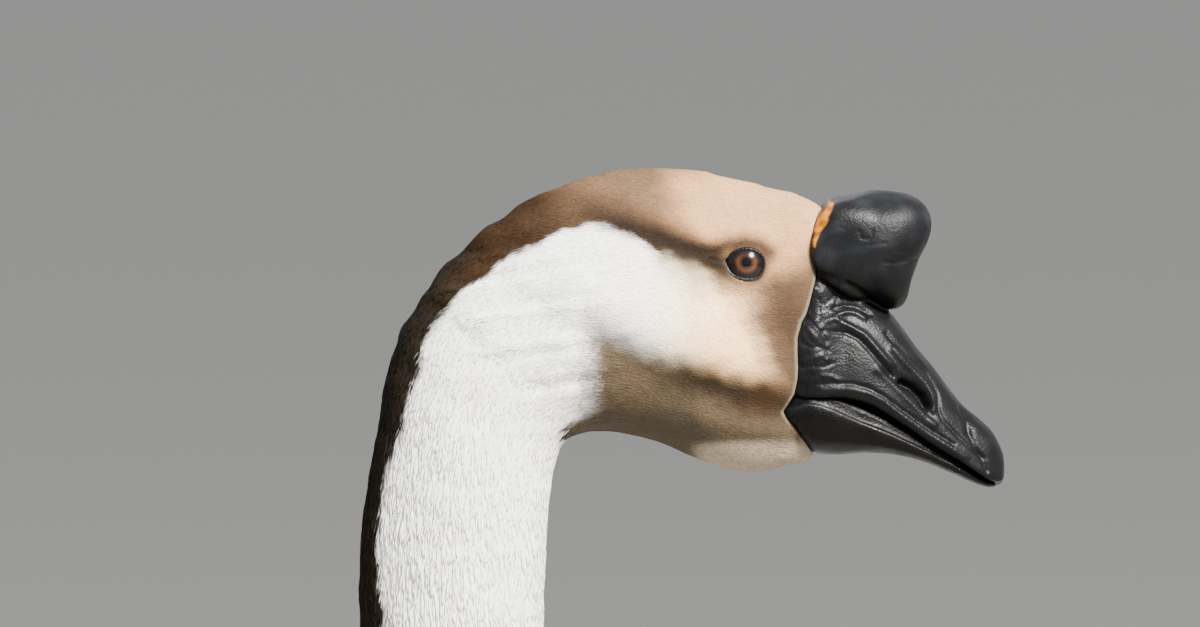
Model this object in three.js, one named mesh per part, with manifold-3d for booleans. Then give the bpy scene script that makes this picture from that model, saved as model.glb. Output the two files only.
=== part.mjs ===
// A standing brown Chinese gander, life size: a still model for a museum case.
// Units are millimetres. +X is the way it faces, +Y its left side, +Z up.
// The body is measured from a point just under the middle between its eyes. At the end the whole bird
// is moved, so that the origin is on the floor, under the middle of its outline.
import * as THREE from 'three';
import { mergeVertices } from 'three/addons/utils/BufferGeometryUtils.js';
import Module from 'manifold-3d';

const wasm = await Module();
wasm.setup();

// Driving dimensions

const eyeHeight = 728; // of that point, above the floor
const gap = 0.45; // how far a piece stays clear of the neighbour that it is cut by
const cutGap = 0.3; // between two lengths of the body
const ringSides = 26; // points round a section of the body

// The eyeball's radius, how far its centre is to the side and up, and the room round it.
const eye = { ball: 10, side: 12.6, up: 1.7, socketGap: 0.3 };
// The ankle's place, how far behind it the hock is and how high, and the height of the foot's root.
const leg = { ankle: -261, side: 56, hockBack: 20, hockHeight: 104, footTop: 13 };
// Where along the body the folded wing starts and ends, its thickness, and how far it clears the trunk.
const wing = { shoulder: 17.3, rump: 25.1, thick: 12, edge: 2.4, clear: 1.2 };

// Sections of the body from the bill's base to the tail's end: the point on the back's outline, the
// point on the front's or belly's outline, the half width, how square it is (2 is an ellipse), and how
// far down from the back it is widest.
const section = (back, front, half, square = 2, widest = 0.5) => {
  return { back, front, half, square, widest };
};
const sections = [
  section([25.1, 20.8], [24.5, -64.7], 18.6, 2.3, 0.6), // bill's base
  section([13.1, 25.5], [10.7, -68.0], 21.6, 2.25, 0.6), // lores
  section([-0.3, 29.2], [-0.3, -69.3], 24.0, 2.2, 0.58), // eyes
  section([-15.4, 31.8], [-14.4, -65.9], 25.6, 2.15, 0.57),
  section([-32.2, 32.2], [-28.8, -60.4], 26.3, 2.1, 0.55), // cheeks
  section([-52.3, 29.8], [-42.9, -57.4], 26.0, 2.05, 0.53), // back of the skull
  section([-74.0, 21.4], [-50.9, -56.3], 25.4, 2, 0.5),
  section([-95.8, 5.0], [-56.6, -57.3], 25.4, 2, 0.48), // nape and throat
  section([-110.9, -13.4], [-60.3, -60.6], 25.8, 2, 0.47),
  section([-119.3, -33.5], [-62.6, -64.7], 26.4, 2, 0.47),
  section([-124.6, -57.0], [-64.7, -72.0], 27.2, 2, 0.48),
  section([-128.3, -77.0], [-66.0, -87.1], 27.9, 2, 0.49),
  section([-130.3, -102.2], [-67.0, -105.5], 28.8, 2, 0.5),
  section([-131.0, -126.0], [-67.0, -128.0], 29.6, 2, 0.5), // middle of the neck
  section([-133.0, -168.0], [-66.0, -171.0], 31.2, 2, 0.5),
  section([-136.0, -212.0], [-63.5, -219.0], 34.2, 2, 0.5),
  section([-143.0, -252.0], [-57.0, -272.0], 41.0, 2, 0.5), // foot of the neck
  section([-159.0, -284.0], [-45.0, -325.0], 56.0, 2, 0.5), // shoulders
  section([-186.0, -304.0], [-33.0, -383.0], 77.0, 2.1, 0.48),
  section([-222.0, -317.5], [-38.0, -441.0], 93.0, 2.15, 0.46), // breast
  section([-264.0, -329.5], [-76.0, -494.0], 101.0, 2.2, 0.45),
  section([-309.0, -342.5], [-138.0, -534.0], 103.5, 2.2, 0.45), // legs
  section([-356.0, -357.5], [-212.0, -558.0], 100.5, 2.2, 0.45),
  section([-401.0, -373.0], [-291.0, -562.0], 92.5, 2.15, 0.45), // belly
  section([-441.0, -387.5], [-366.0, -543.0], 79.0, 2.1, 0.45),
  section([-474.0, -398.5], [-425.0, -510.0], 62.0, 2.1, 0.45), // vent
  section([-500.0, -405.0], [-464.0, -474.0], 49.0, 2.1, 0.42), // tail's base
  section([-525.0, -407.5], [-498.0, -447.5], 47.5, 2.1, 0.35),
  section([-553.0, -405.5], [-537.0, -428.0], 52.5, 2.1, 0.3),
  section([-581.0, -400.0], [-576.0, -411.0], 58.0, 2.1, 0.35),
  section([-599.0, -395.5], [-597.5, -400.5], 55.0, 2.1, 0.5),
  section([-607.5, -393.2], [-606.8, -396.0], 41.0, 2.1, 0.5), // tail's end
];

// Plain tools

const vec = (x, y, z) => new THREE.Vector3(x, y, z);
const mix = THREE.MathUtils.lerp;
const radians = THREE.MathUtils.degToRad;
const smoothLine = (points) => new THREE.CatmullRomCurve3(points, false, 'centripetal');
const signedPower = (value, power) => Math.sign(value) * Math.abs(value) ** power;
const bump = (value, middle, width) => Math.exp(-(((value - middle) / width) ** 2));

// A closed mesh from numbered corners, as a geometry.
function meshOf(points, faces) {
  const geometry = new THREE.BufferGeometry().setFromPoints(points);
  geometry.setIndex(faces.flat());
  return geometry;
}

// Rings with as many points each, skinned one to the next and closed by a flat fan at both ends.
function loft(rings) {
  const around = rings[0].length;
  const points = rings.flat();
  const faces = [];
  for (let row = 0; row < rings.length - 1; row++) {
    for (let i = 0; i < around; i++) {
      const a = row * around + i;
      const b = row * around + ((i + 1) % around);
      faces.push([a, b, b + around], [a, b + around, a + around]);
    }
  }
  for (const end of [0, rings.length - 1]) {
    const centre = rings[end].reduce((sum, p) => sum.add(p), vec(0, 0, 0)).divideScalar(around);
    const hub = points.push(centre) - 1;
    for (let i = 0; i < around; i++) {
      const a = end * around + i;
      const b = end * around + ((i + 1) % around);
      faces.push(end === 0 ? [hub, b, a] : [hub, a, b]);
    }
  }
  return meshOf(points, faces);
}

// A closed slab between two grids of points: upper(u, v) and lower(u, v), with u and v from 0 to 1.
function slab(across, along, upper, lower) {
  const points = [];
  const faces = [];
  const corner = (side, i, j) => side * (across + 1) * (along + 1) + j * (across + 1) + i;
  const square = (side, i, j) => {
    return [corner(side, i, j), corner(side, i + 1, j), corner(side, i + 1, j + 1), corner(side, i, j + 1)];
  };
  for (const surface of [upper, lower]) {
    for (let j = 0; j <= along; j++) {
      for (let i = 0; i <= across; i++) points.push(surface(i / across, j / along));
    }
  }
  for (let j = 0; j < along; j++) {
    for (let i = 0; i < across; i++) {
      const [a, b, c, d] = square(0, i, j);
      const [e, f, g, h] = square(1, i, j);
      faces.push([a, b, c], [a, c, d], [e, g, f], [e, h, g]);
    }
  }
  const wall = (i, j, k, l) => {
    const [a, b, c, d] = [corner(0, i, j), corner(0, k, l), corner(1, k, l), corner(1, i, j)];
    faces.push([a, d, c], [a, c, b]);
  };
  for (let i = 0; i < across; i++) {
    wall(i, 0, i + 1, 0);
    wall(i + 1, along, i, along);
  }
  for (let j = 0; j < along; j++) {
    wall(0, j + 1, 0, j);
    wall(across, j, across, j + 1);
  }
  return meshOf(points, faces);
}

// A tapering rod along a smooth line. sizes holds [half width, half height] at each of its points.
function rod(points, sizes, sides, steps, flatSide = vec(0, 1, 0)) {
  const line = smoothLine(points);
  const girth = smoothLine(sizes.map(([wide, high]) => vec(wide, high, 0)));
  const rings = [];
  for (let j = 0; j <= steps; j++) {
    const t = j / steps;
    const middle = line.getPoint(t);
    const along = line.getTangent(t);
    const up = along.clone().cross(flatSide).normalize();
    const wide = up.clone().cross(along).normalize();
    const size = girth.getPoint(t);
    rings.push(
      Array.from({ length: sides }, (_, i) => {
        const a = ((i + 0.5) / sides) * 2 * Math.PI;
        return middle
          .clone()
          .addScaledVector(wide, Math.cos(a) * size.x)
          .addScaledVector(up, Math.sin(a) * size.y);
      }),
    );
  }
  return loft(rings);
}

// A geometry as a manifold-3d solid, with its faces pointing out.
function solid(geometry) {
  const plain = geometry.clone();
  plain.deleteAttribute('normal');
  plain.deleteAttribute('uv');
  const merged = mergeVertices(plain, 1e-4);
  const vertProperties = merged.attributes.position.array;
  const make = (triVerts) => {
    return new wasm.Manifold(new wasm.Mesh({ numProp: 3, vertProperties, triVerts }));
  };
  const triVerts = new Uint32Array(merged.index.array);
  const made = make(triVerts);
  return made.volume() > 0 ? made : make(triVerts.reverse());
}

// A solid's largest body as a geometry, so that a cut leaves no crumbs.
function geometryOf(made) {
  const bodies = made.decompose().sort((a, b) => b.volume() - a.volume());
  const mesh = bodies[0].getMesh();
  const geometry = new THREE.BufferGeometry();
  geometry.setAttribute('position', new THREE.BufferAttribute(mesh.vertProperties, mesh.numProp));
  geometry.setIndex(new THREE.BufferAttribute(mesh.triVerts, 1));
  return geometry;
}

// A solid that is thicker by a little all over, to cut its neighbours with.
function grown(made, by = gap) {
  const geometry = geometryOf(made);
  geometry.computeVertexNormals();
  const { position, normal } = geometry.attributes;
  for (let i = 0; i < position.count; i++) {
    const moved = vec().fromBufferAttribute(position, i);
    moved.addScaledVector(vec().fromBufferAttribute(normal, i), by);
    position.setXYZ(i, moved.x, moved.y, moved.z);
  }
  return solid(geometry);
}

const mirrored = (made) => made.mirror([0, 1, 0]);
const cutBy = (made, ...others) => others.reduce((left, other) => left.subtract(other), made);
const joined = (...all) => all.reduce((sum, one) => sum.add(one));

// The body's surface

const last = sections.length - 1;
const backLine = smoothLine(sections.map((s) => vec(s.back[0], 0, s.back[1])));
const frontLine = smoothLine(sections.map((s) => vec(s.front[0], 0, s.front[1])));
const sizeLine = smoothLine(sections.map((s) => vec(s.half, s.square * 10, s.widest * 100)));

// The point at place t, counted in sections, and angle: 0 on the back, pi on the belly, and on the left
// between them.
function bodyPoint(t, angle) {
  const back = backLine.getPoint(t / last);
  const front = frontLine.getPoint(t / last);
  const size = sizeLine.getPoint(t / last);
  const power = 2 / (size.y / 10);
  const down = 0.5 - 0.5 * signedPower(Math.cos(angle), power);
  const point = back.lerp(front, down ** (Math.log(size.z / 100) / Math.log(0.5)));
  point.y = size.x * signedPower(Math.sin(angle), power);
  return point;
}

// The same point, lifted off the surface.
function aboveBody(t, angle, lift) {
  const step = 0.02;
  const along = bodyPoint(t + step, angle).sub(bodyPoint(t - step, angle));
  const around = bodyPoint(t, angle + step).sub(bodyPoint(t, angle - step));
  const out = along.cross(around).normalize();
  return bodyPoint(t, angle).addScaledVector(out, -lift);
}

// A length of the body from one place to another, with a few rings to each section.
function bodyLength(from, to, ringsEach) {
  const count = Math.max(2, Math.round((to - from) * ringsEach));
  const rings = [];
  for (let j = 0; j <= count; j++) {
    const t = mix(from, to, j / count);
    const turns = Array.from({ length: ringSides }, (_, i) => (i / ringSides) * 2 * Math.PI);
    rings.push(turns.map((turn) => bodyPoint(t, turn)));
  }
  const halfGap = cutGap / 2;
  const middle = (at) => backLine.getPoint(at / last).lerp(frontLine.getPoint(at / last), 0.5);
  const shift = (t, by) => {
    const tangent = middle(Math.min(t + 0.05, last)).sub(middle(Math.max(t - 0.05, 0)));
    return tangent.normalize().multiplyScalar(by);
  };
  rings[0].forEach((p) => p.add(shift(from, halfGap)));
  rings[count].forEach((p) => p.add(shift(to, -halfGap)));
  return solid(loft(rings));
}

const headEnd = 6.6; // where the head is parted from the neck
const neckMiddle = 13; // where the neck's two lengths meet
const neckEnd = 16.4; // where the neck is parted from the trunk
const trunkEnd = 26; // where the trunk is parted from the tail

const wholeHead = bodyLength(0, headEnd, 2);
const neckUpper = bodyLength(headEnd, neckMiddle, 1.6);
const neckLower = bodyLength(neckMiddle, neckEnd, 1.8);
const trunk = bodyLength(neckEnd, trunkEnd, 1.6);
const tail = bodyLength(trunkEnd, last, 1.4);

// Bill, knob and eyes

// One half's outline of a bill section, from its top to its bottom: [how far down, how wide], 0 to 1.
const upperShape = [
  [0, 0], [0.04, 0.3], [0.14, 0.5], [0.32, 0.68], [0.55, 0.84], [0.78, 0.95], [1, 1], [0.94, 0.6],
];
const lowerShape = [
  [0.12, 0], [0.08, 0.55], [0, 0.9], [0.16, 1], [0.42, 0.96], [0.68, 0.8], [0.88, 0.52], [1, 0],
];

// A bill's ring between a top and a bottom point.
function billRing([topX, topZ, bottomX, bottomZ, half], shape) {
  const at = (down, side) => vec(mix(topX, bottomX, down), side * half, mix(topZ, bottomZ, down));
  const right = shape.map(([down, side]) => at(down, -side));
  const left = shape.filter(([, side]) => side > 0).map(([down, side]) => at(down, side)).reverse();
  return [...right, ...left];
}

// [top x, top z, bottom x, bottom z, half width], from the bill's base to its tip.
const upperBill = [
  [19.5, -6.5, 17.4, -45.2, 19.7],
  [29.0, -6.0, 24.5, -45.6, 19.9],
  [40.0, -10.5, 33.5, -47.4, 19.6],
  [50.0, -17.0, 43.0, -51.6, 18.9],
  [57.2, -28.0, 52.6, -57.0, 17.7],
  [65.0, -37.8, 61.8, -62.0, 16.3],
  [73.2, -46.2, 71.0, -66.8, 14.7],
  [79.6, -53.0, 77.8, -70.0, 12.9],
  [84.4, -58.8, 83.0, -71.8, 10.2],
  [87.0, -64.6, 86.2, -72.0, 6.4],
  [87.6, -68.2, 87.3, -71.4, 2.8],
];
const lowerBill = [
  [13.4, -48.6, 14.0, -50.2, 19.9],
  [17.0, -46.8, 18.6, -56.0, 20.3],
  [22.0, -46.8, 25.0, -64.0, 20.1],
  [31.0, -50.2, 34.0, -64.6, 19.2],
  [42.0, -56.0, 45.6, -64.2, 17.8],
  [53.0, -61.4, 56.0, -66.6, 16.2],
  [63.0, -65.6, 65.0, -70.0, 14.4],
  [72.0, -69.4, 73.6, -73.0, 12.4],
  [79.4, -72.6, 80.6, -75.2, 9.6],
  [84.2, -74.0, 84.4, -75.8, 5.4],
];
const billOf = (rows, shape) => {
  const line = rows.map((row) => billRing(row, shape));
  return solid(loft(line));
};
const wholeUpperBill = billOf(upperBill, upperShape);
const billLower = cutBy(billOf(lowerBill, lowerShape), grown(wholeUpperBill));

// The nail is the hard plate on the tip: what an oval cylinder takes off the bill.
const nail = { at: [80.0, 0, -60], half: 7, long: 10.5, deep: 40 };
const nailForm = new THREE.CylinderGeometry(1, 1, nail.deep, 16);
nailForm.rotateX(Math.PI / 2);
nailForm.scale(nail.long, nail.half, 1);
nailForm.translate(...nail.at);
const nailCutter = solid(nailForm);
const billNail = wholeUpperBill.intersect(nailCutter);
const billUpper = cutBy(wholeUpperBill, grown(nailCutter));

// The knob is a ball round its middle, with swellings and hollows. Each is an angle in degrees, counted
// up from straight ahead, a width and a height.
const knob = { at: [41, 0, 6.7], radius: 18.6, half: 17.2 };
const knobLobes = [
  [26, 27, 4.9], // brow
  [-62, 17, 5.2], // lip
  [138, 18, 1.6],
  [106, 18, -0.8],
  [184, 30, -2.6], // towards the forehead
];
const knobSwell = (degrees) => {
  const turns = [degrees - 360, degrees, degrees + 360];
  const swell = ([middle, width, high]) => high * Math.max(...turns.map((d) => bump(d, middle, width)));
  return knobLobes.reduce((sum, lobe) => sum + swell(lobe), 0);
};
function knobForm() {
  const form = new THREE.SphereGeometry(1, 20, 12);
  const { position } = form.attributes;
  for (let i = 0; i < position.count; i++) {
    const [x, y, z] = [position.getX(i), position.getY(i), position.getZ(i)];
    const radius = knob.radius + knobSwell(THREE.MathUtils.radToDeg(Math.atan2(z, x)));
    position.setXYZ(i, knob.at[0] + x * radius, y * knob.half, knob.at[2] + z * radius);
  }
  return solid(form);
}

const eyeSides = [12, 8];
const eyeBall = (side) => {
  const form = new THREE.SphereGeometry(eye.ball, ...eyeSides);
  form.translate(0, side * eye.side, eye.up);
  return form;
};
const socket = (side) => {
  const form = new THREE.SphereGeometry(eye.ball + eye.socketGap, ...eyeSides);
  form.translate(0, side * eye.side, eye.up);
  return solid(form);
};
const head = cutBy(wholeHead, grown(wholeUpperBill), grown(billLower), socket(1), socket(-1));
const knobSolid = cutBy(knobForm(), grown(wholeHead), grown(wholeUpperBill));

// Wings and tail

// The folded wing lies on the trunk from the shoulder to the rump. It is narrow at both ends.
const wingFullness = (u) => Math.sin(Math.PI * mix(0.07, 0.88, u)) ** 0.75;
const wingMiddle = (u) => radians(mix(64, 44, u ** 1.6));
const wingSpread = (u) => radians(31) * wingFullness(u);
function wingPoint(u, v, lift) {
  const t = mix(wing.shoulder, wing.rump, u);
  return aboveBody(t, wingMiddle(u) + (v - 0.5) * 2 * wingSpread(u), lift);
}
const wingLift = (u, v) => {
  const crown = (Math.sin(Math.PI * v) * wingFullness(u)) ** 0.6;
  return wing.clear + mix(wing.edge, wing.thick, crown);
};
const wingForm = slab(
  7,
  11,
  (v, u) => wingPoint(u, v, wingLift(u, v)),
  (v, u) => wingPoint(u, v, wing.clear),
);

// The long quills of the folded wing lie over the rump and the root of the tail.
const quillLift = 7;
const quillLine = [
  aboveBody(24.2, radians(46), quillLift),
  aboveBody(25.6, radians(45), quillLift),
  aboveBody(27, radians(33), quillLift),
  vec(-590, 15, -385),
];
const wingTip = rod(
  quillLine,
  [[6, 21], [5.5, 20], [4.5, 14], [2, 5]],
  10,
  7,
  vec(0, 0.8, 0.6),
);
const wingLeft = solid(wingForm);
const wingTipLeft = cutBy(solid(wingTip), grown(trunk), grown(wingLeft), grown(tail));

// Legs and feet

const floor = -eyeHeight;
const hock = vec(leg.ankle - leg.hockBack, leg.side - 3, floor + leg.hockHeight);
const ankle = vec(leg.ankle, leg.side, floor + leg.footTop);

// The feathered part of the leg, from inside the belly to just above the hock.
const thighLine = [
  vec(leg.ankle + 22, leg.side - 2, -500),
  vec(leg.ankle + 8, leg.side - 2, -556),
  vec(leg.ankle - 10, leg.side - 3, -594),
  vec(hock.x + 1, hock.y, hock.z + 11),
];
const thigh = rod(thighLine, [[34, 44], [25, 33], [15, 18], [8.6, 10.2]], 14, 6);

// The shank, with the knuckle of the hock on top.
const shankLine = [
  vec(hock.x + 0.6, hock.y, hock.z + 10.6),
  hock,
  hock.clone().lerp(ankle, 0.35),
  ankle,
];
const shank = rod(shankLine, [[7.6, 9.4], [8.4, 10.2], [5.3, 6.8], [6.4, 7.4]], 10, 7);

// Toes fan out from the ankle: the turn outwards in degrees, the length and the half width at the root.
const toes = {
  inner: { turn: -27, length: 66, half: 5.0 },
  middle: { turn: 3, length: 86, half: 5.4 },
  outer: { turn: 30, length: 78, half: 5.0 },
};
const toeHeight = { root: 9, ball: 4, end: 3.1 }; // of a toe's middle above the floor
const claw = { long: 12, half: 2.9 };

const toeSpot = (turn, out, up) =>
  vec(leg.ankle + out * Math.cos(radians(turn)), leg.side + out * Math.sin(radians(turn)), floor + up);

const sideways = (turn) => vec(-Math.sin(radians(turn)), Math.cos(radians(turn)), 0);

// A toe, from inside the ankle down to its end.
function toeForm({ turn, length, half }) {
  const spots = [
    toeSpot(turn, -1, toeHeight.root),
    toeSpot(turn, length * 0.24, toeHeight.ball),
    toeSpot(turn, length, toeHeight.end),
  ];
  const girths = [[half + 1.4, half + 2], [half, half], [half - 1.1, half - 0.9]];
  return solid(rod(spots, girths, 8, 4, sideways(turn)));
}

function clawForm({ turn, length }) {
  const start = length + cutGap;
  const spots = [
    toeSpot(turn, start, toeHeight.end + 0.5),
    toeSpot(turn, start + claw.long * 0.55, toeHeight.end + 0.3),
    toeSpot(turn, start + claw.long, 1.6),
  ];
  const girths = [claw.half, claw.half * 0.72, 0.5].map((half) => [half, half]);
  return solid(rod(spots, girths, 8, 3, sideways(turn)));
}

// The web between the toes: a thin skin from the ankle to the toes' ends, hollowed between them.
function webForm() {
  const names = ['inner', 'middle', 'outer'];
  const reach = (u) => {
    const at = u * 2;
    const i = Math.min(1, Math.floor(at));
    const [a, b] = [toes[names[i]], toes[names[i + 1]]];
    const hollow = 1 - 0.17 * Math.sin(Math.PI * (at - i));
    const length = mix(a.length, b.length, at - i) * 0.97 * hollow;
    return { turn: mix(a.turn, b.turn, at - i), length };
  };
  const spot = (u, v, up) => {
    const { turn, length } = reach(u);
    return toeSpot(turn, mix(2, length, v), up);
  };
  return solid(slab(6, 2, (u, v) => spot(u, v, mix(4.4, 2.6, v)), (u, v) => spot(u, v, 1.1)));
}

// Everything under the floor is taken off, which leaves the small flats that it stands on.
const underFloor = new THREE.BoxGeometry(400, 400, 60);
underFloor.translate(leg.ankle, 0, floor - 30);
const floorCutter = solid(underFloor);
const shankSolid = solid(shank);
const footWhole = joined(webForm(), ...Object.values(toes).map(toeForm));
const footSolid = cutBy(footWhole, floorCutter, grown(shankSolid));

// The small hind toe, on the inner side behind the ankle.
const hindSpot = (back, inside, up) => vec(leg.ankle - back, leg.side - inside, floor + up);
const hindLine = [hindSpot(3, 3, 17), hindSpot(15, 7, 11), hindSpot(23, 9, 6.5)];
const hindForm = solid(rod(hindLine, [[4, 4.4], [3.4, 3.6], [2.6, 2.8]], 8, 3));
const hindToe = cutBy(hindForm, grown(shankSolid), grown(footSolid), floorCutter);
const hindClawLine = [hindSpot(23.7, 9.2, 6.2), hindSpot(28, 10.4, 4), hindSpot(30.5, 11, 1.2)];
const hindClaw = solid(rod(hindClawLine, [[2.2, 2.2], [1.5, 1.5], [0.5, 0.5]], 8, 3));

// Colours and the scene graph

const paint = (color, roughness) => new THREE.MeshStandardMaterial({ color, roughness, metalness: 0 });
const plumage = {
  head: paint('#b59a80', 0.8),
  neck: paint('#ece8e0', 0.85),
  trunk: paint('#cdbba2', 0.85),
  wing: paint('#7c6a5a', 0.8),
  quills: paint('#4a4038', 0.75),
  tail: paint('#8a7a69', 0.8),
  thigh: paint('#e9e2d6', 0.85),
};
const blackBill = paint('#1d1e21', 0.35);
const blackNail = paint('#24262a', 0.25);
const eyeBrown = paint('#7a4a2c', 0.08);
const legOrange = paint('#d5742a', 0.5);
const clawHorn = paint('#3a332d', 0.4);

const goose = new THREE.Group();
function add(name, made, material) {
  const mesh = new THREE.Mesh(geometryOf(made), material);
  mesh.name = name;
  goose.add(mesh);
}
function addPair(name, made, material) {
  add(`${name}_left`, made, material);
  add(`${name}_right`, mirrored(made), material);
}

add('head', head, plumage.head);
add('knob', knobSolid, blackBill);
add('bill_upper', billUpper, blackBill);
add('bill_nail', billNail, blackNail);
add('bill_lower', billLower, blackBill);
addPair('eye', solid(eyeBall(1)), eyeBrown);
add('neck_upper', neckUpper, plumage.neck);
add('neck_lower', neckLower, plumage.neck);
add('trunk', trunk, plumage.trunk);
add('tail', tail, plumage.tail);
addPair('wing', wingLeft, plumage.wing);
addPair('wing_quills', wingTipLeft, plumage.quills);
const thighSolid = cutBy(solid(thigh), grown(trunk), grown(shankSolid));
addPair('thigh', thighSolid, plumage.thigh);
addPair('shank', shankSolid, legOrange);
addPair('foot', footSolid, legOrange);
addPair('hind_toe', hindToe, legOrange);
addPair('claw_hind', hindClaw, clawHorn);
for (const [name, toe] of Object.entries(toes)) addPair(`claw_${name}`, clawForm(toe), clawHorn);

// Stand it on the floor, with the origin under the middle of its outline.
const outline = new THREE.Box3().setFromObject(goose, true);
goose.position.set(-(outline.min.x + outline.max.x) / 2, 0, -outline.min.z);

export default goose;
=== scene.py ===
import math
import bpy
import numpy as np
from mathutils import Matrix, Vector, noise
from mathutils.bvhtree import BVHTree
from mathutils.kdtree import KDTree


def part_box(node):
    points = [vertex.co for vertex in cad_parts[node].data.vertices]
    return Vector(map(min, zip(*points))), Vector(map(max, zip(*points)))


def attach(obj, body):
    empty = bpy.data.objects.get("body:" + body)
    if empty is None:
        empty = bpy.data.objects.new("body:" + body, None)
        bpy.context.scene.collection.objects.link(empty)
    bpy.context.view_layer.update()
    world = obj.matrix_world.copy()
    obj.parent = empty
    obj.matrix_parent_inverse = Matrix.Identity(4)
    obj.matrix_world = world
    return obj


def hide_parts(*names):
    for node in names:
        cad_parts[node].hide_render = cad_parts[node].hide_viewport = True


# A brown Chinese gander, life size. Lengths are metres unless a name or note says millimetres.
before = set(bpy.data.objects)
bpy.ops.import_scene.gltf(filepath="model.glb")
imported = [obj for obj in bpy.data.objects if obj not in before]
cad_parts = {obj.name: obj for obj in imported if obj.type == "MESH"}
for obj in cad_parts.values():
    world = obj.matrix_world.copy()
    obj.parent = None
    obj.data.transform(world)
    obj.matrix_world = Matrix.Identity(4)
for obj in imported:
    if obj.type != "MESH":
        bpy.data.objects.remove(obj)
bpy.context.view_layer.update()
mm = 0.001
chance = np.random.default_rng(7)

eyeLow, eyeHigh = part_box("eye_right")
eyeRadius = (eyeHigh.x - eyeLow.x) / 2
eyeMiddle = (eyeLow + eyeHigh) / 2
eyeSide = abs(eyeMiddle.y)
headZero = np.array([eyeMiddle.x, 0, eyeMiddle.z - 1.7 * mm])  # head measures are taken from here
sideLook = math.radians(4.5)  # side measures are heights seen from this far above the level


# Small tools

def clearSelection():
    if bpy.context.object and bpy.context.object.mode != "OBJECT":
        bpy.ops.object.mode_set(mode="OBJECT")
    bpy.ops.object.select_all(action="DESELECT")


def pick(piece, *others):
    clearSelection()
    for chosen in (piece, *others):
        chosen.select_set(True)
    bpy.context.view_layer.objects.active = piece


def joined(piece, *others):
    pick(piece, *others)
    bpy.ops.object.join()
    return piece


def applyModifier(piece, kind, **values):
    pick(piece)
    modifier = piece.modifiers.new(kind.title(), kind)
    for name, value in values.items():
        setattr(modifier, name, value)
    bpy.ops.object.modifier_apply(modifier=modifier.name)


def smoothed(piece, times, factor=0.5):
    applyModifier(piece, "SMOOTH", factor=factor, iterations=times)
    return piece


def readThrees(items, name):
    values = np.empty(len(items) * 3, np.float32)
    items.foreach_get(name, values)
    return values.reshape(-1, 3).astype(float)


def readPoints(piece):
    return readThrees(piece.data.vertices, "co")


def readForm(piece):
    return readPoints(piece), readThrees(piece.data.vertex_normals, "vector")


def writePoints(piece, points):
    piece.data.vertices.foreach_set("co", np.asarray(points, np.float32).ravel())
    piece.data.update()
    return piece


def mended(piece, merge=1e-6):
    pick(piece)
    bpy.ops.object.mode_set(mode="EDIT")
    bpy.ops.mesh.select_all(action="SELECT")
    bpy.ops.mesh.remove_doubles(threshold=merge)
    bpy.ops.mesh.normals_make_consistent(inside=False)
    bpy.ops.object.mode_set(mode="OBJECT")
    return piece


def unit(vectors):
    return vectors / np.maximum(np.linalg.norm(vectors, axis=-1, keepdims=True), 1e-12)


def ease(value, start, end):  # 0 at start, 1 at end, smooth between
    share = np.clip((value - start) / (end - start), 0, 1)
    return share * share * (3 - 2 * share)


def mound(value, middle, width):
    return np.exp(-((value - middle) / width) ** 2)


def linear(red, green, blue):  # a colour as it looks on a screen, 0 to 255, made linear
    share = np.array([red, green, blue]) / 255
    return np.where(share < 0.04, share / 12.92, ((share + 0.055) / 1.055) ** 2.4)


def smoothLine(points, count):
    points = np.array(points, float)
    ends = np.vstack([2 * points[0] - points[1], points, 2 * points[-1] - points[-2]])
    place = np.linspace(0, len(points) - 1 - 1e-9, count)
    i = place.astype(int)
    t = (place - i)[:, None]
    a, b, c, d = ends[i], ends[i + 1], ends[i + 2], ends[i + 3]
    return 0.5 * (2 * b + (c - a) * t + (2 * a - 5 * b + 4 * c - d) * t**2 + (3 * b - a - 3 * c + d) * t**3)


def sideView(points):  # millimetres ahead of the eye, and above it as seen in the side view
    away = (points - headZero) / mm
    return away[:, 0], away[:, 2] - np.abs(away[:, 1]) * math.sin(sideLook)


def lineDistance(across, up, line):
    # how far each place is from a line in the side view, above zero on the line's left
    line = np.array(line, float)
    best = np.full(len(across), 1e9)
    for (ax, ay), (bx, by) in zip(line[:-1], line[1:]):
        lengthSquared = (bx - ax) ** 2 + (by - ay) ** 2
        t = np.clip(((across - ax) * (bx - ax) + (up - ay) * (by - ay)) / lengthSquared, 0, 1)
        dx, dy = across - ax - t * (bx - ax), up - ay - t * (by - ay)
        sign = np.where((bx - ax) * dy - (by - ay) * dx >= 0, 1, -1)
        far = np.hypot(dx, dy)
        best = np.where(far < np.abs(best), sign * far, best)
    return best


def foldHeight(across, up, folds):
    # how high folds stand at places in the side view: each fold is a line, a width and a height
    return sum(height * mm * mound(lineDistance(across, up, line), 0, width) for line, width, height in folds)


def addBall(segments, rings, radius=1, place=(0, 0, 0), stretch=(1, 1, 1), turn=(0, 0, 0)):
    clearSelection()
    bpy.ops.mesh.primitive_uv_sphere_add(
        segments=segments, ring_count=rings, radius=radius, location=place, rotation=turn
    )
    bpy.ops.transform.resize(value=stretch)
    bpy.ops.object.transform_apply(location=True, rotation=True, scale=True)
    return bpy.context.object


def loftPiece(name, sides, rings, place):
    # a disc extruded ring after ring, and then each ring set on its own section
    clearSelection()
    bpy.ops.mesh.primitive_circle_add(vertices=sides, radius=1, fill_type="NGON")
    piece = bpy.context.object
    piece.name = name
    bpy.ops.object.mode_set(mode="EDIT")
    for _ in range(rings):
        bpy.ops.mesh.extrude_region_move(TRANSFORM_OT_translate={"value": (0, 0, 1)})
    bpy.ops.object.mode_set(mode="OBJECT")
    x, y, z = readPoints(piece).T
    return mended(writePoints(piece, place(np.rint(z) / rings, np.arctan2(y, x))))


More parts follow.
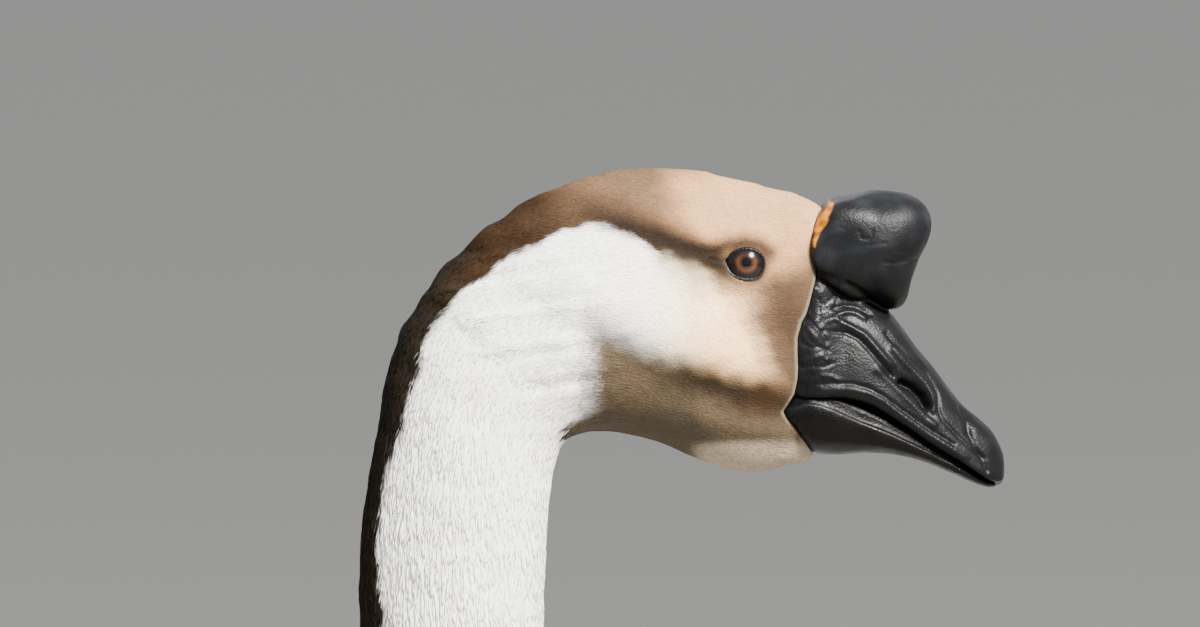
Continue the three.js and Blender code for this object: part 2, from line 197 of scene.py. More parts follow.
def copyNodes(name, nodes, swell):
    # one object from copies of the frame's solids, each a little swollen so that they meet
    copies = []
    for node in nodes:
        copy = bpy.data.objects.new(node + "Copy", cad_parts[node].data.copy())
        bpy.context.scene.collection.objects.link(copy)
        mended(copy, 2e-6)
        applyModifier(copy, "DISPLACE", strength=swell, mid_level=0)
        copies.append(copy)
    piece = joined(*copies)
    piece.name = name
    piece.data.name = name
    return piece


def facesOf(piece):
    return [list(face.vertices) for face in piece.data.polygons]


def treeOf(piece):
    return BVHTree.FromPolygons(readPoints(piece).tolist(), facesOf(piece))


def remeshed(piece, voxel, smoothing):
    applyModifier(piece, "REMESH", mode="VOXEL", voxel_size=voxel)
    return smoothed(piece, smoothing)


def refilled(piece, shell, reach):
    # smoothing shrinks a form, so its surface goes back out to the shell it was made from
    points, normals = readForm(piece)
    push = np.zeros(len(points))
    for i, point in enumerate(points.tolist()):
        near, _, _, _ = shell.find_nearest(point, reach)
        if near is not None:
            push[i] = (np.array(near) - points[i]) @ normals[i]
    return smoothed(writePoints(piece, points + normals * push[:, None]), 6)


def finished(piece, material, slot, *nodes):
    pick(piece)
    bpy.ops.object.shade_smooth()
    piece.data.materials.clear()
    piece.data.materials.append(material)
    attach(piece, "root")
    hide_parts(*nodes)


# Materials

def feed(tree, socket, value):
    # a socket takes another node's output, a colour or a number
    if isinstance(value, bpy.types.NodeSocket):
        tree.links.new(value, socket)
    else:
        socket.default_value = (*value, 1) if socket.type == "RGBA" else value


def addNode(tree, kind, *inputs, **values):
    # the values are settings or sockets by name, and the inputs are sockets in order
    node = tree.nodes.new("ShaderNode" + kind)
    for name, value in values.items():
        if hasattr(node, name):
            setattr(node, name, value)
        else:
            feed(tree, node.inputs[name.replace("_", " ")], value)
    for socket, value in zip(node.inputs, inputs):
        feed(tree, socket, value)
    return node


def newMaterial(name, colour, roughness, **values):
    material = bpy.data.materials.new(name)
    material.use_nodes = True
    tree = material.node_tree
    shader = tree.nodes["Principled BSDF"]
    for socket, value in {"Base_Color": colour, "Roughness": roughness, **values}.items():
        feed(tree, shader.inputs[socket.replace("_", " ")], value)
    return material, tree, shader


def newGroup(name, inputs, outputs):
    # sockets called Color carry colours, and the others numbers
    tree = bpy.data.node_groups.new(name, "ShaderNodeTree")
    for way, sockets in (("INPUT", inputs), ("OUTPUT", outputs)):
        for socket in sockets:
            kind = "NodeSocketColor" if socket == "Color" else "NodeSocketFloat"
            tree.interface.new_socket(socket, in_out=way, socket_type=kind)
    return tree, tree.nodes.new("NodeGroupInput").outputs, tree.nodes.new("NodeGroupOutput").inputs


def ownPlace(tree):
    return addNode(tree, "TexCoord").outputs["Object"]


def texture(tree, kind, **values):
    return addNode(tree, "Tex" + kind, Vector=ownPlace(tree), **values)


def partsOf(tree, vector):
    return addNode(tree, "SeparateXYZ", vector).outputs


def maths(tree, operation, *inputs):
    return addNode(tree, "Math", *inputs, operation=operation).outputs[0]


def easeNode(tree, value, start, end):
    return addNode(tree, "MapRange", value, start, end, interpolation_type="SMOOTHSTEP").outputs["Result"]


def mixNode(tree, share, under, over):
    node = addNode(tree, "Mix", share, data_type="RGBA")
    feed(tree, node.inputs[6], under)
    feed(tree, node.inputs[7], over)
    return node.outputs[2]


def mottleGroup():
    # a colour made lighter and darker in soft patches
    tree, given, result = newGroup("mottle", ["Color", "Scale", "Amount"], ["Color"])
    cloud = texture(tree, "Noise", Scale=given["Scale"], Detail=4, Roughness=0.6)
    centred = maths(tree, "SUBTRACT", cloud.outputs["Fac"], 0.5)
    swing = maths(tree, "MULTIPLY_ADD", centred, given["Amount"], 1)
    uneven = addNode(tree, "VectorMath", given["Color"], operation="SCALE", Scale=swing)
    feed(tree, result["Color"], uneven.outputs[0])
    return tree


def poreGroup():
    # the height of skin with pores, fine lines and soft lumps
    tree, given, result = newGroup("pores", ["Pore scale", "Lump scale", "Lumps"], ["Height"])
    pits = texture(tree, "Voronoi", feature="SMOOTH_F1", Smoothness=0.4, Scale=given["Pore scale"])
    bumps = texture(tree, "Noise", Detail=5, Roughness=0.62, Scale=given["Lump scale"])
    height = maths(tree, "MULTIPLY_ADD", bumps.outputs["Fac"], given["Lumps"], pits.outputs["Distance"])
    feed(tree, result["Height"], height)
    return tree


mottle = mottleGroup()
pores = poreGroup()


def addMottle(tree, shader, colour, scale, amount):
    node = addNode(tree, "Group", node_tree=mottle, Color=colour, Scale=scale, Amount=amount)
    feed(tree, shader.inputs["Base Color"], node.outputs["Color"])


def addBump(tree, shader, height, strength, depth):
    bump = addNode(tree, "Bump", Strength=strength, Distance=depth, Height=height)
    feed(tree, shader.inputs["Normal"], bump.outputs["Normal"])


def addPores(tree, shader, poreScale, lumpScale, lumps, strength, depth):
    node = addNode(tree, "Group", node_tree=pores, Pore_scale=poreScale, Lump_scale=lumpScale, Lumps=lumps)
    addBump(tree, shader, node.outputs["Height"], strength, depth)


def paintedColour(tree):  # the colour on the corners, and its alpha
    marks = addNode(tree, "Attribute", attribute_name="plumage").outputs
    return marks["Color"], marks["Alpha"]


# Feathers carry their colour on their corners. Its alpha says how pale the vane's edge is, and the
# vane map runs from -1 to 1 across a feather and from 0 to 1 along it.
vanes = {
    "barbs": 30 * 6.28, "slant": -0.24, "depth": 0.12 * mm, "roughness": 0.72, "gloss": 0.06,
    "edge": 0.78, "tip": 0.93, "edgeColour": linear(214, 202, 186), "shaftColour": linear(92, 80, 70),
}


def vaneGroup():
    tree, given, result = newGroup("vane", ["Color", "Fringe"], ["Color", "Height"])
    place = partsOf(tree, addNode(tree, "UVMap", uv_map="vane").outputs["UV"])
    across, along = maths(tree, "ABSOLUTE", place["X"]), place["Y"]
    ragged = texture(tree, "Noise", Scale=420, Detail=2)
    wander = maths(tree, "MULTIPLY_ADD", ragged.outputs["Fac"], 0.16, -0.08)
    edge = easeNode(tree, maths(tree, "ADD", across, wander), vanes["edge"] - 0.1, vanes["edge"] + 0.08)
    edge = maths(tree, "MULTIPLY", edge, easeNode(tree, along, 0.35, 0.7))
    tip = easeNode(tree, maths(tree, "ADD", along, wander), vanes["tip"] - 0.05, vanes["tip"] + 0.03)
    rim = maths(tree, "MULTIPLY", maths(tree, "MAXIMUM", edge, tip), given["Fringe"])
    pale = mixNode(tree, rim, given["Color"], vanes["edgeColour"])
    shaft = maths(tree, "MULTIPLY", easeNode(tree, across, 0.09, 0.03), 0.35)
    feed(tree, result["Color"], mixNode(tree, shaft, pale, vanes["shaftColour"]))
    slanted = maths(tree, "MULTIPLY_ADD", across, vanes["slant"], along)
    wave = maths(tree, "SINE", maths(tree, "MULTIPLY", slanted, vanes["barbs"]))
    ridge = maths(tree, "MULTIPLY", easeNode(tree, across, 0.1, 0.02), 3)
    feed(tree, result["Height"], maths(tree, "MULTIPLY_ADD", wave, 0.5, ridge))
    return tree


vane = vaneGroup()


def featherMaterial(name, strength, mottleScale, mottleAmount):
    # tufts have a plain colour, and vanes have barbs, a shaft and a pale edge too
    material, tree, shader = newMaterial(
        name, (0.8, 0.8, 0.8), vanes["roughness"], Specular_IOR_Level=vanes["gloss"]
    )
    colour, fringe = paintedColour(tree)
    if strength:
        feather = addNode(tree, "Group", node_tree=vane, Color=colour, Fringe=fringe)
        addBump(tree, shader, feather.outputs["Height"], strength, vanes["depth"])
        colour = feather.outputs["Color"]
    addMottle(tree, shader, colour, mottleScale, mottleAmount)
    return material


def skinMaterial():
    material, tree, shader = newMaterial("featherDown", (0.8, 0.8, 0.8), 0.85, Specular_IOR_Level=0.1)
    addMottle(tree, shader, paintedColour(tree)[0], 500, 0.3)
    addBump(tree, shader, texture(tree, "Noise", Scale=700, Detail=3).outputs["Fac"], 0.5, 0.4 * mm)
    return material


print("tools and materials ready")


# The line through the bird's middle, from the bill to the tail

spineMarks = [  # millimetres from the eyes, ahead and up
    (34, -24), (16, -22), (0, -20), (-30, -14), (-50, -14), (-68, -21), (-84, -36), (-93, -58), (-98, -90),
    (-100, -150), (-100, -215), (-101, -270), (-108, -335), (-130, -379), (-170, -412), (-224, -438),
    (-284, -456), (-344, -466), (-399, -459), (-443, -450), (-480, -438), (-511, -427), (-550, -414),
    (-607, -394),
]
spine = smoothLine(spineMarks, 500) * mm + headZero[[0, 2]]
spineAhead = unit(np.gradient(spine, axis=0))
spineUp = np.stack([spineAhead[:, 1], -spineAhead[:, 0]], 1)  # towards the back of the bird
spineLength = np.concatenate([[0], np.cumsum(np.linalg.norm(np.diff(spine, axis=0), axis=1))])


def nearestMark(points, marks):
    # which mark each point is nearest to, a part of the points at a time
    index = np.empty(len(points), int)
    for start in range(0, len(points), 20000):
        part = points[start:start + 20000, None]
        far = (part[..., 0] - marks[:, 0]) ** 2 + (part[..., 1] - marks[:, 1]) ** 2
        index[start:start + 20000] = far.argmin(1)
    return index


def alongBody(points):
    # the nearest place on the spine, as a number in its list, and how far towards the back of it
    flat = points[:, [0, 2]]
    index = nearestMark(flat, spine)
    return index, ((flat - spine[index]) * spineUp[index]).sum(1)


def lengthAlong(points):
    return spineLength[alongBody(points)[0]]


def stationOf(points):  # millimetres along the spine
    return lengthAlong(points) / mm


def waver(points):
    # a slow wander from minus one to one, so that no border is ruled
    x, y, z = (points / mm).T
    waves = np.sin(x * 0.31 + z * 0.17) + np.sin(z * 0.43 - x * 0.11 + y * 0.2) + np.sin(y * 0.37 + x * 0.23)
    return waves / 3


# The skin under the feathers

skin = {
    "voxel": 4 * mm,
    "swell": 1 * mm,
    "smoothing": 8,
    "coatHead": 0.3 * mm,  # how deep the skin lies inside the outline
    "coatNeck": 1.2 * mm,
    "coatBody": 5 * mm,
    "coatLeg": 2 * mm,
    "headEnd": 118 * mm,  # along the spine
    "bodyStart": 330 * mm,
    "legTop": 165 * mm,  # height above the floor
    "fineFace": 15 * mm,  # how far the finest mesh goes round the eye
    "rumpBack": -12 * mm,  # from the tail's root
    "rumpDown": -37 * mm,
    "rumpSize": (72 * mm, 40 * mm, 25 * mm),
    "foreheadPlace": (17 * mm, 0, 9.5 * mm),  # from between the eyes
    "foreheadSize": (14.5 * mm, 16 * mm, 12.6 * mm),
}
fleshNodes = ["head", "neck_upper", "neck_lower", "trunk"]
fleshNodes += ["wing_left", "wing_right", "thigh_left", "thigh_right"]

# Where the bill's bare skin meets the feathers, and where the chin's do, in the side view.
billBorder = [
    (33, 25), (28.8, 21.3), (26.4, 20.0), (25.1, 18.2), (24, 15.9), (23.2, 13.6), (22.7, 11.2),
    (22.5, 6.2), (22.8, 2),
    (23.7, -1.1), (24.1, -3), (23.6, -5.5), (22.6, -9), (21.5, -13), (20.4, -16.4), (18.8, -19.1),
    (17.4, -24.5),
    (17.4, -29), (17.6, -34), (17.6, -38.5), (16.6, -43.5), (14.4, -47.4), (12.8, -49.8), (14.3, -52),
    (17.4, -56), (20.7, -60),
    (23.2, -64), (26, -70),
]


def aheadOfBorder(across, up):  # above zero where the bill is bare
    return lineDistance(across, up, billBorder)


def refine(piece, chosen, cuts):
    pick(piece)
    bpy.ops.object.mode_set(mode="EDIT")
    bpy.ops.mesh.select_mode(type="FACE")
    bpy.ops.mesh.select_all(action="DESELECT")
    bpy.ops.object.mode_set(mode="OBJECT")
    piece.data.polygons.foreach_set("select", chosen)
    bpy.ops.object.mode_set(mode="EDIT")
    bpy.ops.mesh.subdivide(number_cuts=cuts, smoothness=0.8)
    bpy.ops.mesh.vertices_smooth(factor=0.5, repeat=8)
    bpy.ops.object.mode_set(mode="OBJECT")


def buildSkin():
    piece = copyNodes("gooseSkin", fleshNodes, skin["swell"])
    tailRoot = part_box("tail")[1]
    rumpPlace = (tailRoot.x + skin["rumpBack"], 0, tailRoot.z + skin["rumpDown"])
    rump = addBall(32, 20, 1, rumpPlace, skin["rumpSize"])
    forehead = addBall(32, 20, 1, Vector(headZero) + Vector(skin["foreheadPlace"]), skin["foreheadSize"])
    eyePlaces = [(eyeMiddle.x, side * eyeSide, eyeMiddle.z) for side in (1, -1)]
    sockets = [addBall(48, 32, eyeRadius + 1 * mm, place) for place in eyePlaces]
    joined(piece, rump, forehead, *sockets)
    shell = treeOf(piece)
    refilled(remeshed(piece, skin["voxel"], skin["smoothing"]), shell, 4 * mm)

    points, normals = readForm(piece)
    along = lengthAlong(points)
    neckShare = ease(along, skin["headEnd"] - 20 * mm, skin["headEnd"] + 30 * mm)
    bodyShare = ease(along, skin["bodyStart"] - 60 * mm, skin["bodyStart"] + 50 * mm)
    legShare = ease(points[:, 2], skin["legTop"] + 12 * mm, skin["legTop"] - 12 * mm)
    depth = skin["coatHead"] + (skin["coatNeck"] - skin["coatHead"]) * neckShare
    depth += (skin["coatBody"] - skin["coatNeck"]) * bodyShare
    depth += (skin["coatLeg"] - depth) * legShare
    smoothed(writePoints(piece, points - normals * (depth + skin["swell"])[:, None]), 2)

    # the head gets a finer mesh, and the face round the eyes a finer one still
    refine(piece, lengthAlong(readThrees(piece.data.polygons, "center")) < skin["headEnd"], 3)
    middles = readThrees(piece.data.polygons, "center")
    refine(piece, np.hypot(middles[:, 0] - eyeMiddle.x, middles[:, 2] - eyeMiddle.z) < skin["fineFace"], 1)
    fillOutline(piece)
    shapeHead(piece)
    return piece


# The lids' middle line round the eye, seen from the side: millimetres ahead and up, and the lid's thickness
lidLine = [
    (6.1, 0.6, 0.55), (5.5, 2.7, 0.6), (3.6, 4.4, 0.65), (1.0, 5.2, 0.7), (-1.8, 5.0, 0.7),
    (-4.4, 3.8, 0.62),
    (-6.0, 2.3, 0.52), (-7.0, 1.1, 0.42), (-6.3, -1.5, 0.8), (-4.6, -3.7, 1.0), (-1.9, -5.0, 1.15),
    (1.2, -5.3, 1.2),
    (4.0, -4.3, 1.0), (5.7, -1.9, 0.65),
]


def lidRing(count):
    closed = smoothLine(lidLine[-2:] + lidLine + lidLine[:3], (len(lidLine) + 4) * 40 + 1)
    middle = closed[80:-80]
    return middle[np.linspace(0, len(middle) - 1, count, endpoint=False).astype(int)]


lidPoints = lidRing(280)
lidPoints = lidPoints[np.argsort(np.arctan2(lidPoints[:, 1], lidPoints[:, 0]))]


def fromLids(points):
    # millimetres from the lids' middle line, below zero inside it, and the lid's thickness there
    x, z = (points[:, 0] - eyeMiddle.x) / mm, (points[:, 2] - eyeMiddle.z) / mm
    lidX, lidZ, thick = lidPoints.T
    turn, turns = np.arctan2(z, x), np.arctan2(lidZ, lidX)
    away = np.hypot(x, z) - np.interp(turn, turns, np.hypot(lidX, lidZ), period=2 * math.pi)
    return away, np.interp(turn, turns, thick, period=2 * math.pi)


# soft folds of the face in the side view: a line, a width and a height, in millimetres
faceFolds = [
    ([(-14, 8), (-4, 9.5), (8, 8)], 3.0, 0.9),  # brow
    ([(-30, 9), (-20, 5), (-10, 2.5)], 2.4, -0.7),  # groove from the nape to the eye
    ([(-8.5, 0.9), (-12, 2.2)], 0.7, -0.5),  # rear corner of the eye
    ([(-9, -9.5), (0, -11), (9, -8)], 2.6, -0.4),  # under the lower lid
    ([(9, 2), (16, 4), (21, 6)], 3.5, -0.5),  # hollow of the lores
    ([(-54, -8), (-40, -14), (-30, -19), (-18, -24), (-6, -29), (8, -35)], 8, 1.2),  # cheek
    # under the cheek
    ([(-52, -22), (-41, -29.5), (-28, -36), (-14, -41), (0, -45.5), (12, -48.5)], 5, -1.0),
    ([(12, -56), (0, -55), (-14, -52)], 4, 0.7),  # jaw
    ([(-46, -58), (-56, -50), (-58, -38)], 4.5, -1.0),  # where the head meets the throat
]

# where the outline stands further out than the flesh: millimetres ahead and up, and how far
fullness = [
    [
        (27, 21, 2.4), (20, 22, 2.3), (14, 24, 1.6), (4, 27, 0.9), (-8, 30, 1.0), (-24, 32, 1.5),
        (-40, 32, 1.7),
        (-56, 29, 1.5), (-68, 25, 1.0), (-84, 15, 0.9), (-100, 1, 1.0), (-110, -12, 1.6),
        (-117.5, -25, 2.3),
        (-122, -37, 2.3), (-124, -54, 1.2), (-127, -75, 1.0), (-130, -92, 1.5), (-131, -106, 1.4),
        (-129, -125, 0.7),
        (-129, -160, 0.5),
    ],
    [(-60, -58, 0.3), (-64, -70, 0.9), (-66, -96, 0.7), (-67, -125, 0.5), (-70, -160, 0.2)],
    [(-30, -60, 0), (-18, -63.5, 0.8), (0, -68, 1.6), (12, -67, 1.4), (20, -65, 1.6), (24, -63.5, 0.8)],
]


def fillOutline(piece):
    points, normals = readForm(piece)
    flat = np.stack(sideView(points), 1)
    lift = np.zeros(len(points))
    for line in fullness:
        marks = smoothLine(line, 160)
        near = nearestMark(flat, marks)
        lift += marks[near, 2] * mound(np.hypot(*(flat - marks[near, :2]).T), 0, 13)
    lift *= 1 - ease(np.abs(normals[:, 1]), 0.45, 1)
    # soft folds across the neck, deepest where the head bends down from it
    station = stationOf(points)
    folds = waver(points * [0.5, 0.5, 1.5]) + 0.6 * waver(points * [1.2, 1.2, 2.6])
    lift += folds * (0.8 * mound(station, 108, 26) + 0.4 * ease(station, 90, 120) * ease(station, 300, 240))
    writePoints(piece, points + normals * (lift * mm)[:, None])


def shapeHead(piece):
    points, normals = readForm(piece)
    across, up = sideView(points)
    onHead = ease(lengthAlong(points), skin["headEnd"], skin["headEnd"] - 20 * mm)
    away, thick = fromLids(points)
    lift = foldHeight(across, up, faceFolds) + 0.9 * mm * mound(away, 1.6, 2.4)
    hole = ease(away, 0.2, -0.8) * (np.abs(points[:, 1]) > 8 * mm)
    points += normals * (lift * ease(np.abs(normals[:, 1]), 0.25, 0.7) * onHead)[:, None]
    # the skin dips behind the eyeball, and goes under the bare skin of the bill
    side, outward = np.abs(points[:, 1]), np.sign(points[:, 1])
    fromEye = np.hypot(points[:, 0] - eyeMiddle.x, points[:, 2] - eyeMiddle.z)
    ball = eyeSide + np.sqrt(np.maximum(eyeRadius**2 - fromEye**2, 0)) + (0.15 + 0.12 * thick) * mm
    short = np.maximum(ball - side, 0) * (side > 8 * mm) * ease(away, 7, 1) * (fromEye < eyeRadius)
    points[:, 1] += outward * short * (1 - hole)
    points[:, 1] -= outward * hole * np.maximum(side - (eyeSide + 2 * mm), 0)
    under = ease(aheadOfBorder(across, up), -0.4, 1.6) * onHead
    writePoints(piece, points - normals * (under * 2.6 * mm)[:, None])


gooseSkin = buildSkin()
print("skin:", len(gooseSkin.data.polygons), "faces")

skinPoints, skinNormals = readForm(gooseSkin)
gooseSkin.data.calc_loop_triangles()
skinTriangles = np.empty(len(gooseSkin.data.loop_triangles) * 3, np.int32)
gooseSkin.data.loop_triangles.foreach_get("vertices", skinTriangles)
skinTriangles = skinTriangles.reshape(-1, 3)
skinTree = BVHTree.FromPolygons(skinPoints.tolist(), skinTriangles.tolist())


def girths():
    # at each place on the spine: the middle from belly to back, half the height and half the width
    index, rise = alongBody(skinPoints)
    top, bottom, wide = np.zeros((3, len(spine)))
    body = skinPoints[:, 2] > skin["legTop"]
    np.maximum.at(top, index[body], rise[body])
    np.minimum.at(bottom, index[body], rise[body])
    np.maximum.at(wide, index[body], np.abs(skinPoints[body, 1]))
    padded = [np.pad(line, 12, mode="edge") for line in (top, bottom, wide)]
    top, bottom, wide = [np.convolve(line, np.ones(25) / 25, mode="valid") for line in padded]
    return (top + bottom) / 2, (top - bottom) / 2, wide


bodyMiddle, bodyHalf, bodyWide = girths()


def roundBody(points, index, rise):
    # the turn round the spine: 0 on the back, pi on the belly
    half, wide = np.maximum(bodyHalf[index], 1 * mm), np.maximum(bodyWide[index], 1 * mm)
    return np.arctan2(np.abs(points[:, 1]) / wide, (rise - bodyMiddle[index]) / half)


# Markings, with painted shade and light on the face, the same for skin and feathers

plumage = {
    "forehead": linear(184, 140, 99),
    "crown": linear(90, 71, 53),
    "occiput": linear(102, 79, 58),
    "nape": linear(51, 35, 21),
    "stripe": linear(31, 25, 18),
    "eyeStripe": linear(36, 27, 20),
    "lores": linear(86, 67, 50),
    "loresDark": linear(58, 43, 31),
    "cream": linear(250, 202, 148),
    "cheek": linear(252, 234, 194),
    # jaw, throat and gular are their own browns and greys darkened with painted shade under the head, and the
    # pale chin is lightened with painted light
    "jaw": linear(42, 33, 23),
    "throat": linear(80, 68, 52),
    "gular": linear(69, 62, 51),
    "chin": linear(150, 135, 117),
    "neck": linear(248, 248, 247),
    "straw": linear(216, 186, 108),
    "breast": linear(160, 131, 99),
    "belly": linear(240, 235, 226),
    "flank": linear(86, 69, 55),
    "back": linear(64, 51, 42),
    "quill": linear(46, 39, 34),
    "tail": linear(80, 68, 58),
}

# lines in the side view, in millimetres
stripeBorder = [  # between the dark and the pale plumage, up the neck, over the cheek and on to the eye
    (-121, -170), (-121, -112), (-122.9, -98.8), (-123.4, -85.4), (-120.9, -68), (-112.6, -45.2),
    (-106.5, -25.1),
    (-97.5, -11.7), (-82.4, 1), (-69, 7), (-60, 11.8), (-52, 13.4), (-41.6, 10), (-31, 5.6), (-22, 2.6),
    (-15, -0.6),
    (-10, -2.6), (-5, -4), (3, -4.5), (10, -2), (24, 4),
]
loresLine = [(-26, 2), (-17.8, -5), (-6.4, -10.2), (-0.1, -16.5), (3, -24), (6, -32), (9, -40), (12, -46)]
cheekLine = [
    (-58, -14), (-41.6, -23.7), (-31.2, -28.8), (-20.9, -32.2), (-10.5, -35), (-0.1, -38.2), (10.2, -40.6),
    (18, -43),
]
gularLine = [(-64, -53), (-41.6, -47.5), (-20.9, -47.5), (-15.7, -51.6), (-9, -58), (10, -60), (30, -62)]
neckLine = [
    (-46, 2), (-50, -8), (-54, -15), (-56, -22), (-54.8, -38), (-56, -43.5), (-60.5, -49), (-61, -56),
    (-56, -70), (-40, -140),
]
# above the eye: a brown line, partly the band's colour and partly painted shadow under the brow
overEyeLine = [(-18, 5), (-11, 4.5), (-6, 6.5), (0, 7.6), (5, 6.6), (8, 4)]
behindEyeLine = [(-31, 10), (-22, 6.8), (-15, 4.4), (-9, 3)]
# the dark band behind the eye: places ahead of the eye, and how broad it is there
bandReach = ([-62, -41, -36, -29, -21, -10, -4], [19, 14, 14, 17, 16, 11, 5])


def blend(under, over, share):
    return under + (over - under) * np.clip(share, 0, 1)[:, None]


def layered(base, layers):
    # colours of the plumage laid one over another, each by its own share
    for name, share in layers:
        under = plumage[base] if isinstance(base, str) else base
        base = blend(under, plumage[name], share)
    return base


def markingsAndShade(points):
    index, rise = alongBody(points)
    along = spineLength[index] / mm
    turn = np.degrees(roundBody(points, index, rise))
    across, up = sideView(points)
    rough, fine = waver(points), waver(points * 2.7)

    def lineAway(line):
        return lineDistance(across, up, line)

    def spot(ahead, above, squash, width):
        return mound(np.hypot(across - ahead, (up - above) * squash), 0, width)

    lores = lineAway(loresLine) + rough * 1.5 + fine
    under = lineAway(cheekLine) + rough + fine * 0.8
    border = lineAway(stripeBorder)
    pale = layered("cheek", [
        ("cream", ease(across - up * 0.2 + rough * 4, -24, 0)),
        ("neck", ease(across + rough * 5, -14, -44) * 0.9),
        ("lores", ease(lores, -7, 7) * (1 - 0.4 * spot(-1, -10, 1, 6))),
        ("loresDark", ease(lores, 2, 11) * spot(15, -20, 0.55, 10) * 0.9),
        # the throat's grey-brown, darkened with painted shade as under the head
        ("throat", ease(under, 7, -7) * ease(across, -60, -46)),
        # the brown jaw band, with the painted shadow of the cheek's overhang in it
        ("jaw", ease(under, 4, -5.5) * ease(across, -52, -14) * ease(under, -16, -6)),
        # painted shade at the corner of the mouth, in the nape's brown
        ("nape", spot(8, -44.5, 1.3, 9) * 0.7),
        # the grey under the jaw, darkened with painted shade as under the head
        ("gular", ease(lineAway(gularLine) + rough, 1, -2)),
        # the pale chin, painted lighter still where light falls on it
        ("chin", ease(up + rough, -58, -62) * ease(across, -20, -12)),
        ("neck", ease(lineAway(neckLine) + fine * 1.6, 1.2, -1.2)),
        ("straw", spot(-89.8, -41.2, 0.5, 1.7) * 0.7),
    ])
    reach = np.interp(across, *bandReach) + rough * 1.5
    band = ease(border, reach, reach * 0.25) * ease(across, 0, -8)
    dark = layered("forehead", [
        ("crown", ease(across - up * 0.3 + rough * 4, -16, -46)),
        ("occiput", ease(across - up * 0.2 + rough * 4, -30, -56)),
        ("nape", ease(across + rough * 4, -50, -76)),
        ("stripe", ease(across + rough * 5, -74, -112)),
        ("eyeStripe", band * (1 - 0.4 * ease(across, -40, -62)) * ease(across, -92, -66)),
    ])
    soft = 1.2 + 1.3 * ease(across, -60, -40) + 4 * ease(across, -6, 4)
    head = layered(blend(pale, dark, ease((border + rough * 1.2 + fine * 0.6) / soft, -1, 1)), [
        # a brown line above the eye, partly the band's colour and partly painted shadow under the brow
        ("eyeStripe", mound(lineAway(overEyeLine), 0, 3.4) * 0.9),
        ("stripe", mound(lineAway(behindEyeLine), 0, 3.4) * 0.5),
        ("cheek", mound(aheadOfBorder(across, up), -0.4, 0.55) * (along < 60) * 0.12),
        # painted shade in the feathers round the eye
        ("stripe", ease(fromLids(points)[0], 3.2, 0.8) * 0.6 * (np.abs(points[:, 1]) > 12 * mm)),
    ])
    front = layered("neck", [
        ("breast", ease(along + rough * 26, 236, 400)),
        ("belly", ease(along + (turn - 90) * 1.2 + rough * 14, 520, 600) * ease(turn, 96, 126)),
        ("flank", ease(along + rough * 12, 470, 540) * ease(turn + rough * 6, 124, 108)),
        ("belly", ease(along + rough * 10, 800, 840) * ease(turn, 50, 80)),
    ])
    rear = layered("stripe", [
        ("back", ease(along + rough * 12, 300, 400)),
        ("quill", ease(along + rough * 8, 730, 780)),
        ("belly", ease(along + rough * 6, 828, 846)),
    ])
    stripeEdge = 46 + 20 * ease(along, 250, 420) + 14 * ease(along, 380, 470)
    body = blend(front, rear, ease(turn + rough * 5, stripeEdge + 4, stripeEdge - 4))
    body = blend(body, plumage["belly"], ease(points[:, 2] / mm, 176, 158))
    return blend(head, body, ease(along, 190, 224))


def paintPlumage(piece, colours, fringes=0):
    layer = piece.data.color_attributes.new("plumage", "FLOAT_COLOR", "POINT")
    alpha = np.broadcast_to(fringes, len(colours))[:, None]
    layer.data.foreach_set("color", np.hstack([colours, alpha]).astype(np.float32).ravel())


paintPlumage(gooseSkin, markingsAndShade(skinPoints))
finished(gooseSkin, skinMaterial(), "body_feathers", *fleshNodes)
print("markings painted")


# Bill and knob

knob = {"ahead": 41, "up": 6.7, "radius": 18.6, "half": 17.2}  # millimetres
# degrees round from ahead, width and height
knobLobes = [
    (32, 31, 5.3), (-62, 17, 5.2), (138, 18, 1.6), (106, 18, -0.8), (190, 26, 5), (-14, 16, -0.9),
]

# one section from the ridge round to the middle of the palate: place round, how far down, how wide
billSection = [
    (0, 0), (0.03, 0.22), (0.09, 0.43), (0.24, 0.64), (0.46, 0.80), (0.74, 0.94), (0.93, 1.0), (1.0, 0.98),
    (1.04, 0.8), (1.2, 0),
]
upperBill = [  # millimetres: top ahead and up, edge ahead and up, half width
    (10, 6, 8, -36, 14.6),
    (19.5, 3.5, 17.4, -42.6, 17.4),
    (28.5, -2.0, 24.5, -42.8, 19.7),
    (40.0, -9.0, 33.5, -43.0, 19.8),
    (49.6, -16.6, 42.5, -45.6, 19.0),
    (57.4, -27.0, 52.2, -51.6, 17.8),
    (64.6, -35.8, 61.6, -58.2, 16.4),
    (72.6, -46.2, 71.0, -64.0, 14.8),
    (79.0, -51.8, 77.8, -68.6, 12.9),
    (84.0, -57.0, 83.0, -71.6, 10.4),
    (87.0, -63.4, 86.4, -72.4, 6.6),
    (87.7, -68.6, 87.5, -71.6, 2.6),
]
lowerSection = [
    (0.06, 0), (0.04, 0.5), (0, 0.86), (0.02, 0.96), (0.16, 1.0), (0.42, 0.97), (0.68, 0.84), (0.9, 0.5),
    (1, 0),
]
lowerBill = [
    (10.0, -46.0, 11.0, -50.0, 16.5),
    (15.0, -46.4, 16.4, -56.0, 18.8),
    (20.5, -44.9, 22.6, -62.9, 19.9),
    (27.5, -46.4, 30.0, -64.1, 19.5),
    (38.0, -51.0, 41.5, -63.5, 18.0),
    (48.5, -55.2, 51.6, -64.3, 16.6),
    (58.0, -60.0, 60.6, -66.5, 15.2),
    (67.0, -64.6, 69.2, -70.0, 13.6),
    (75.0, -69.0, 76.4, -73.2, 11.4),
    (81.0, -72.4, 81.8, -75.0, 8.2),
    (84.4, -73.6, 84.6, -74.8, 4.4),
]

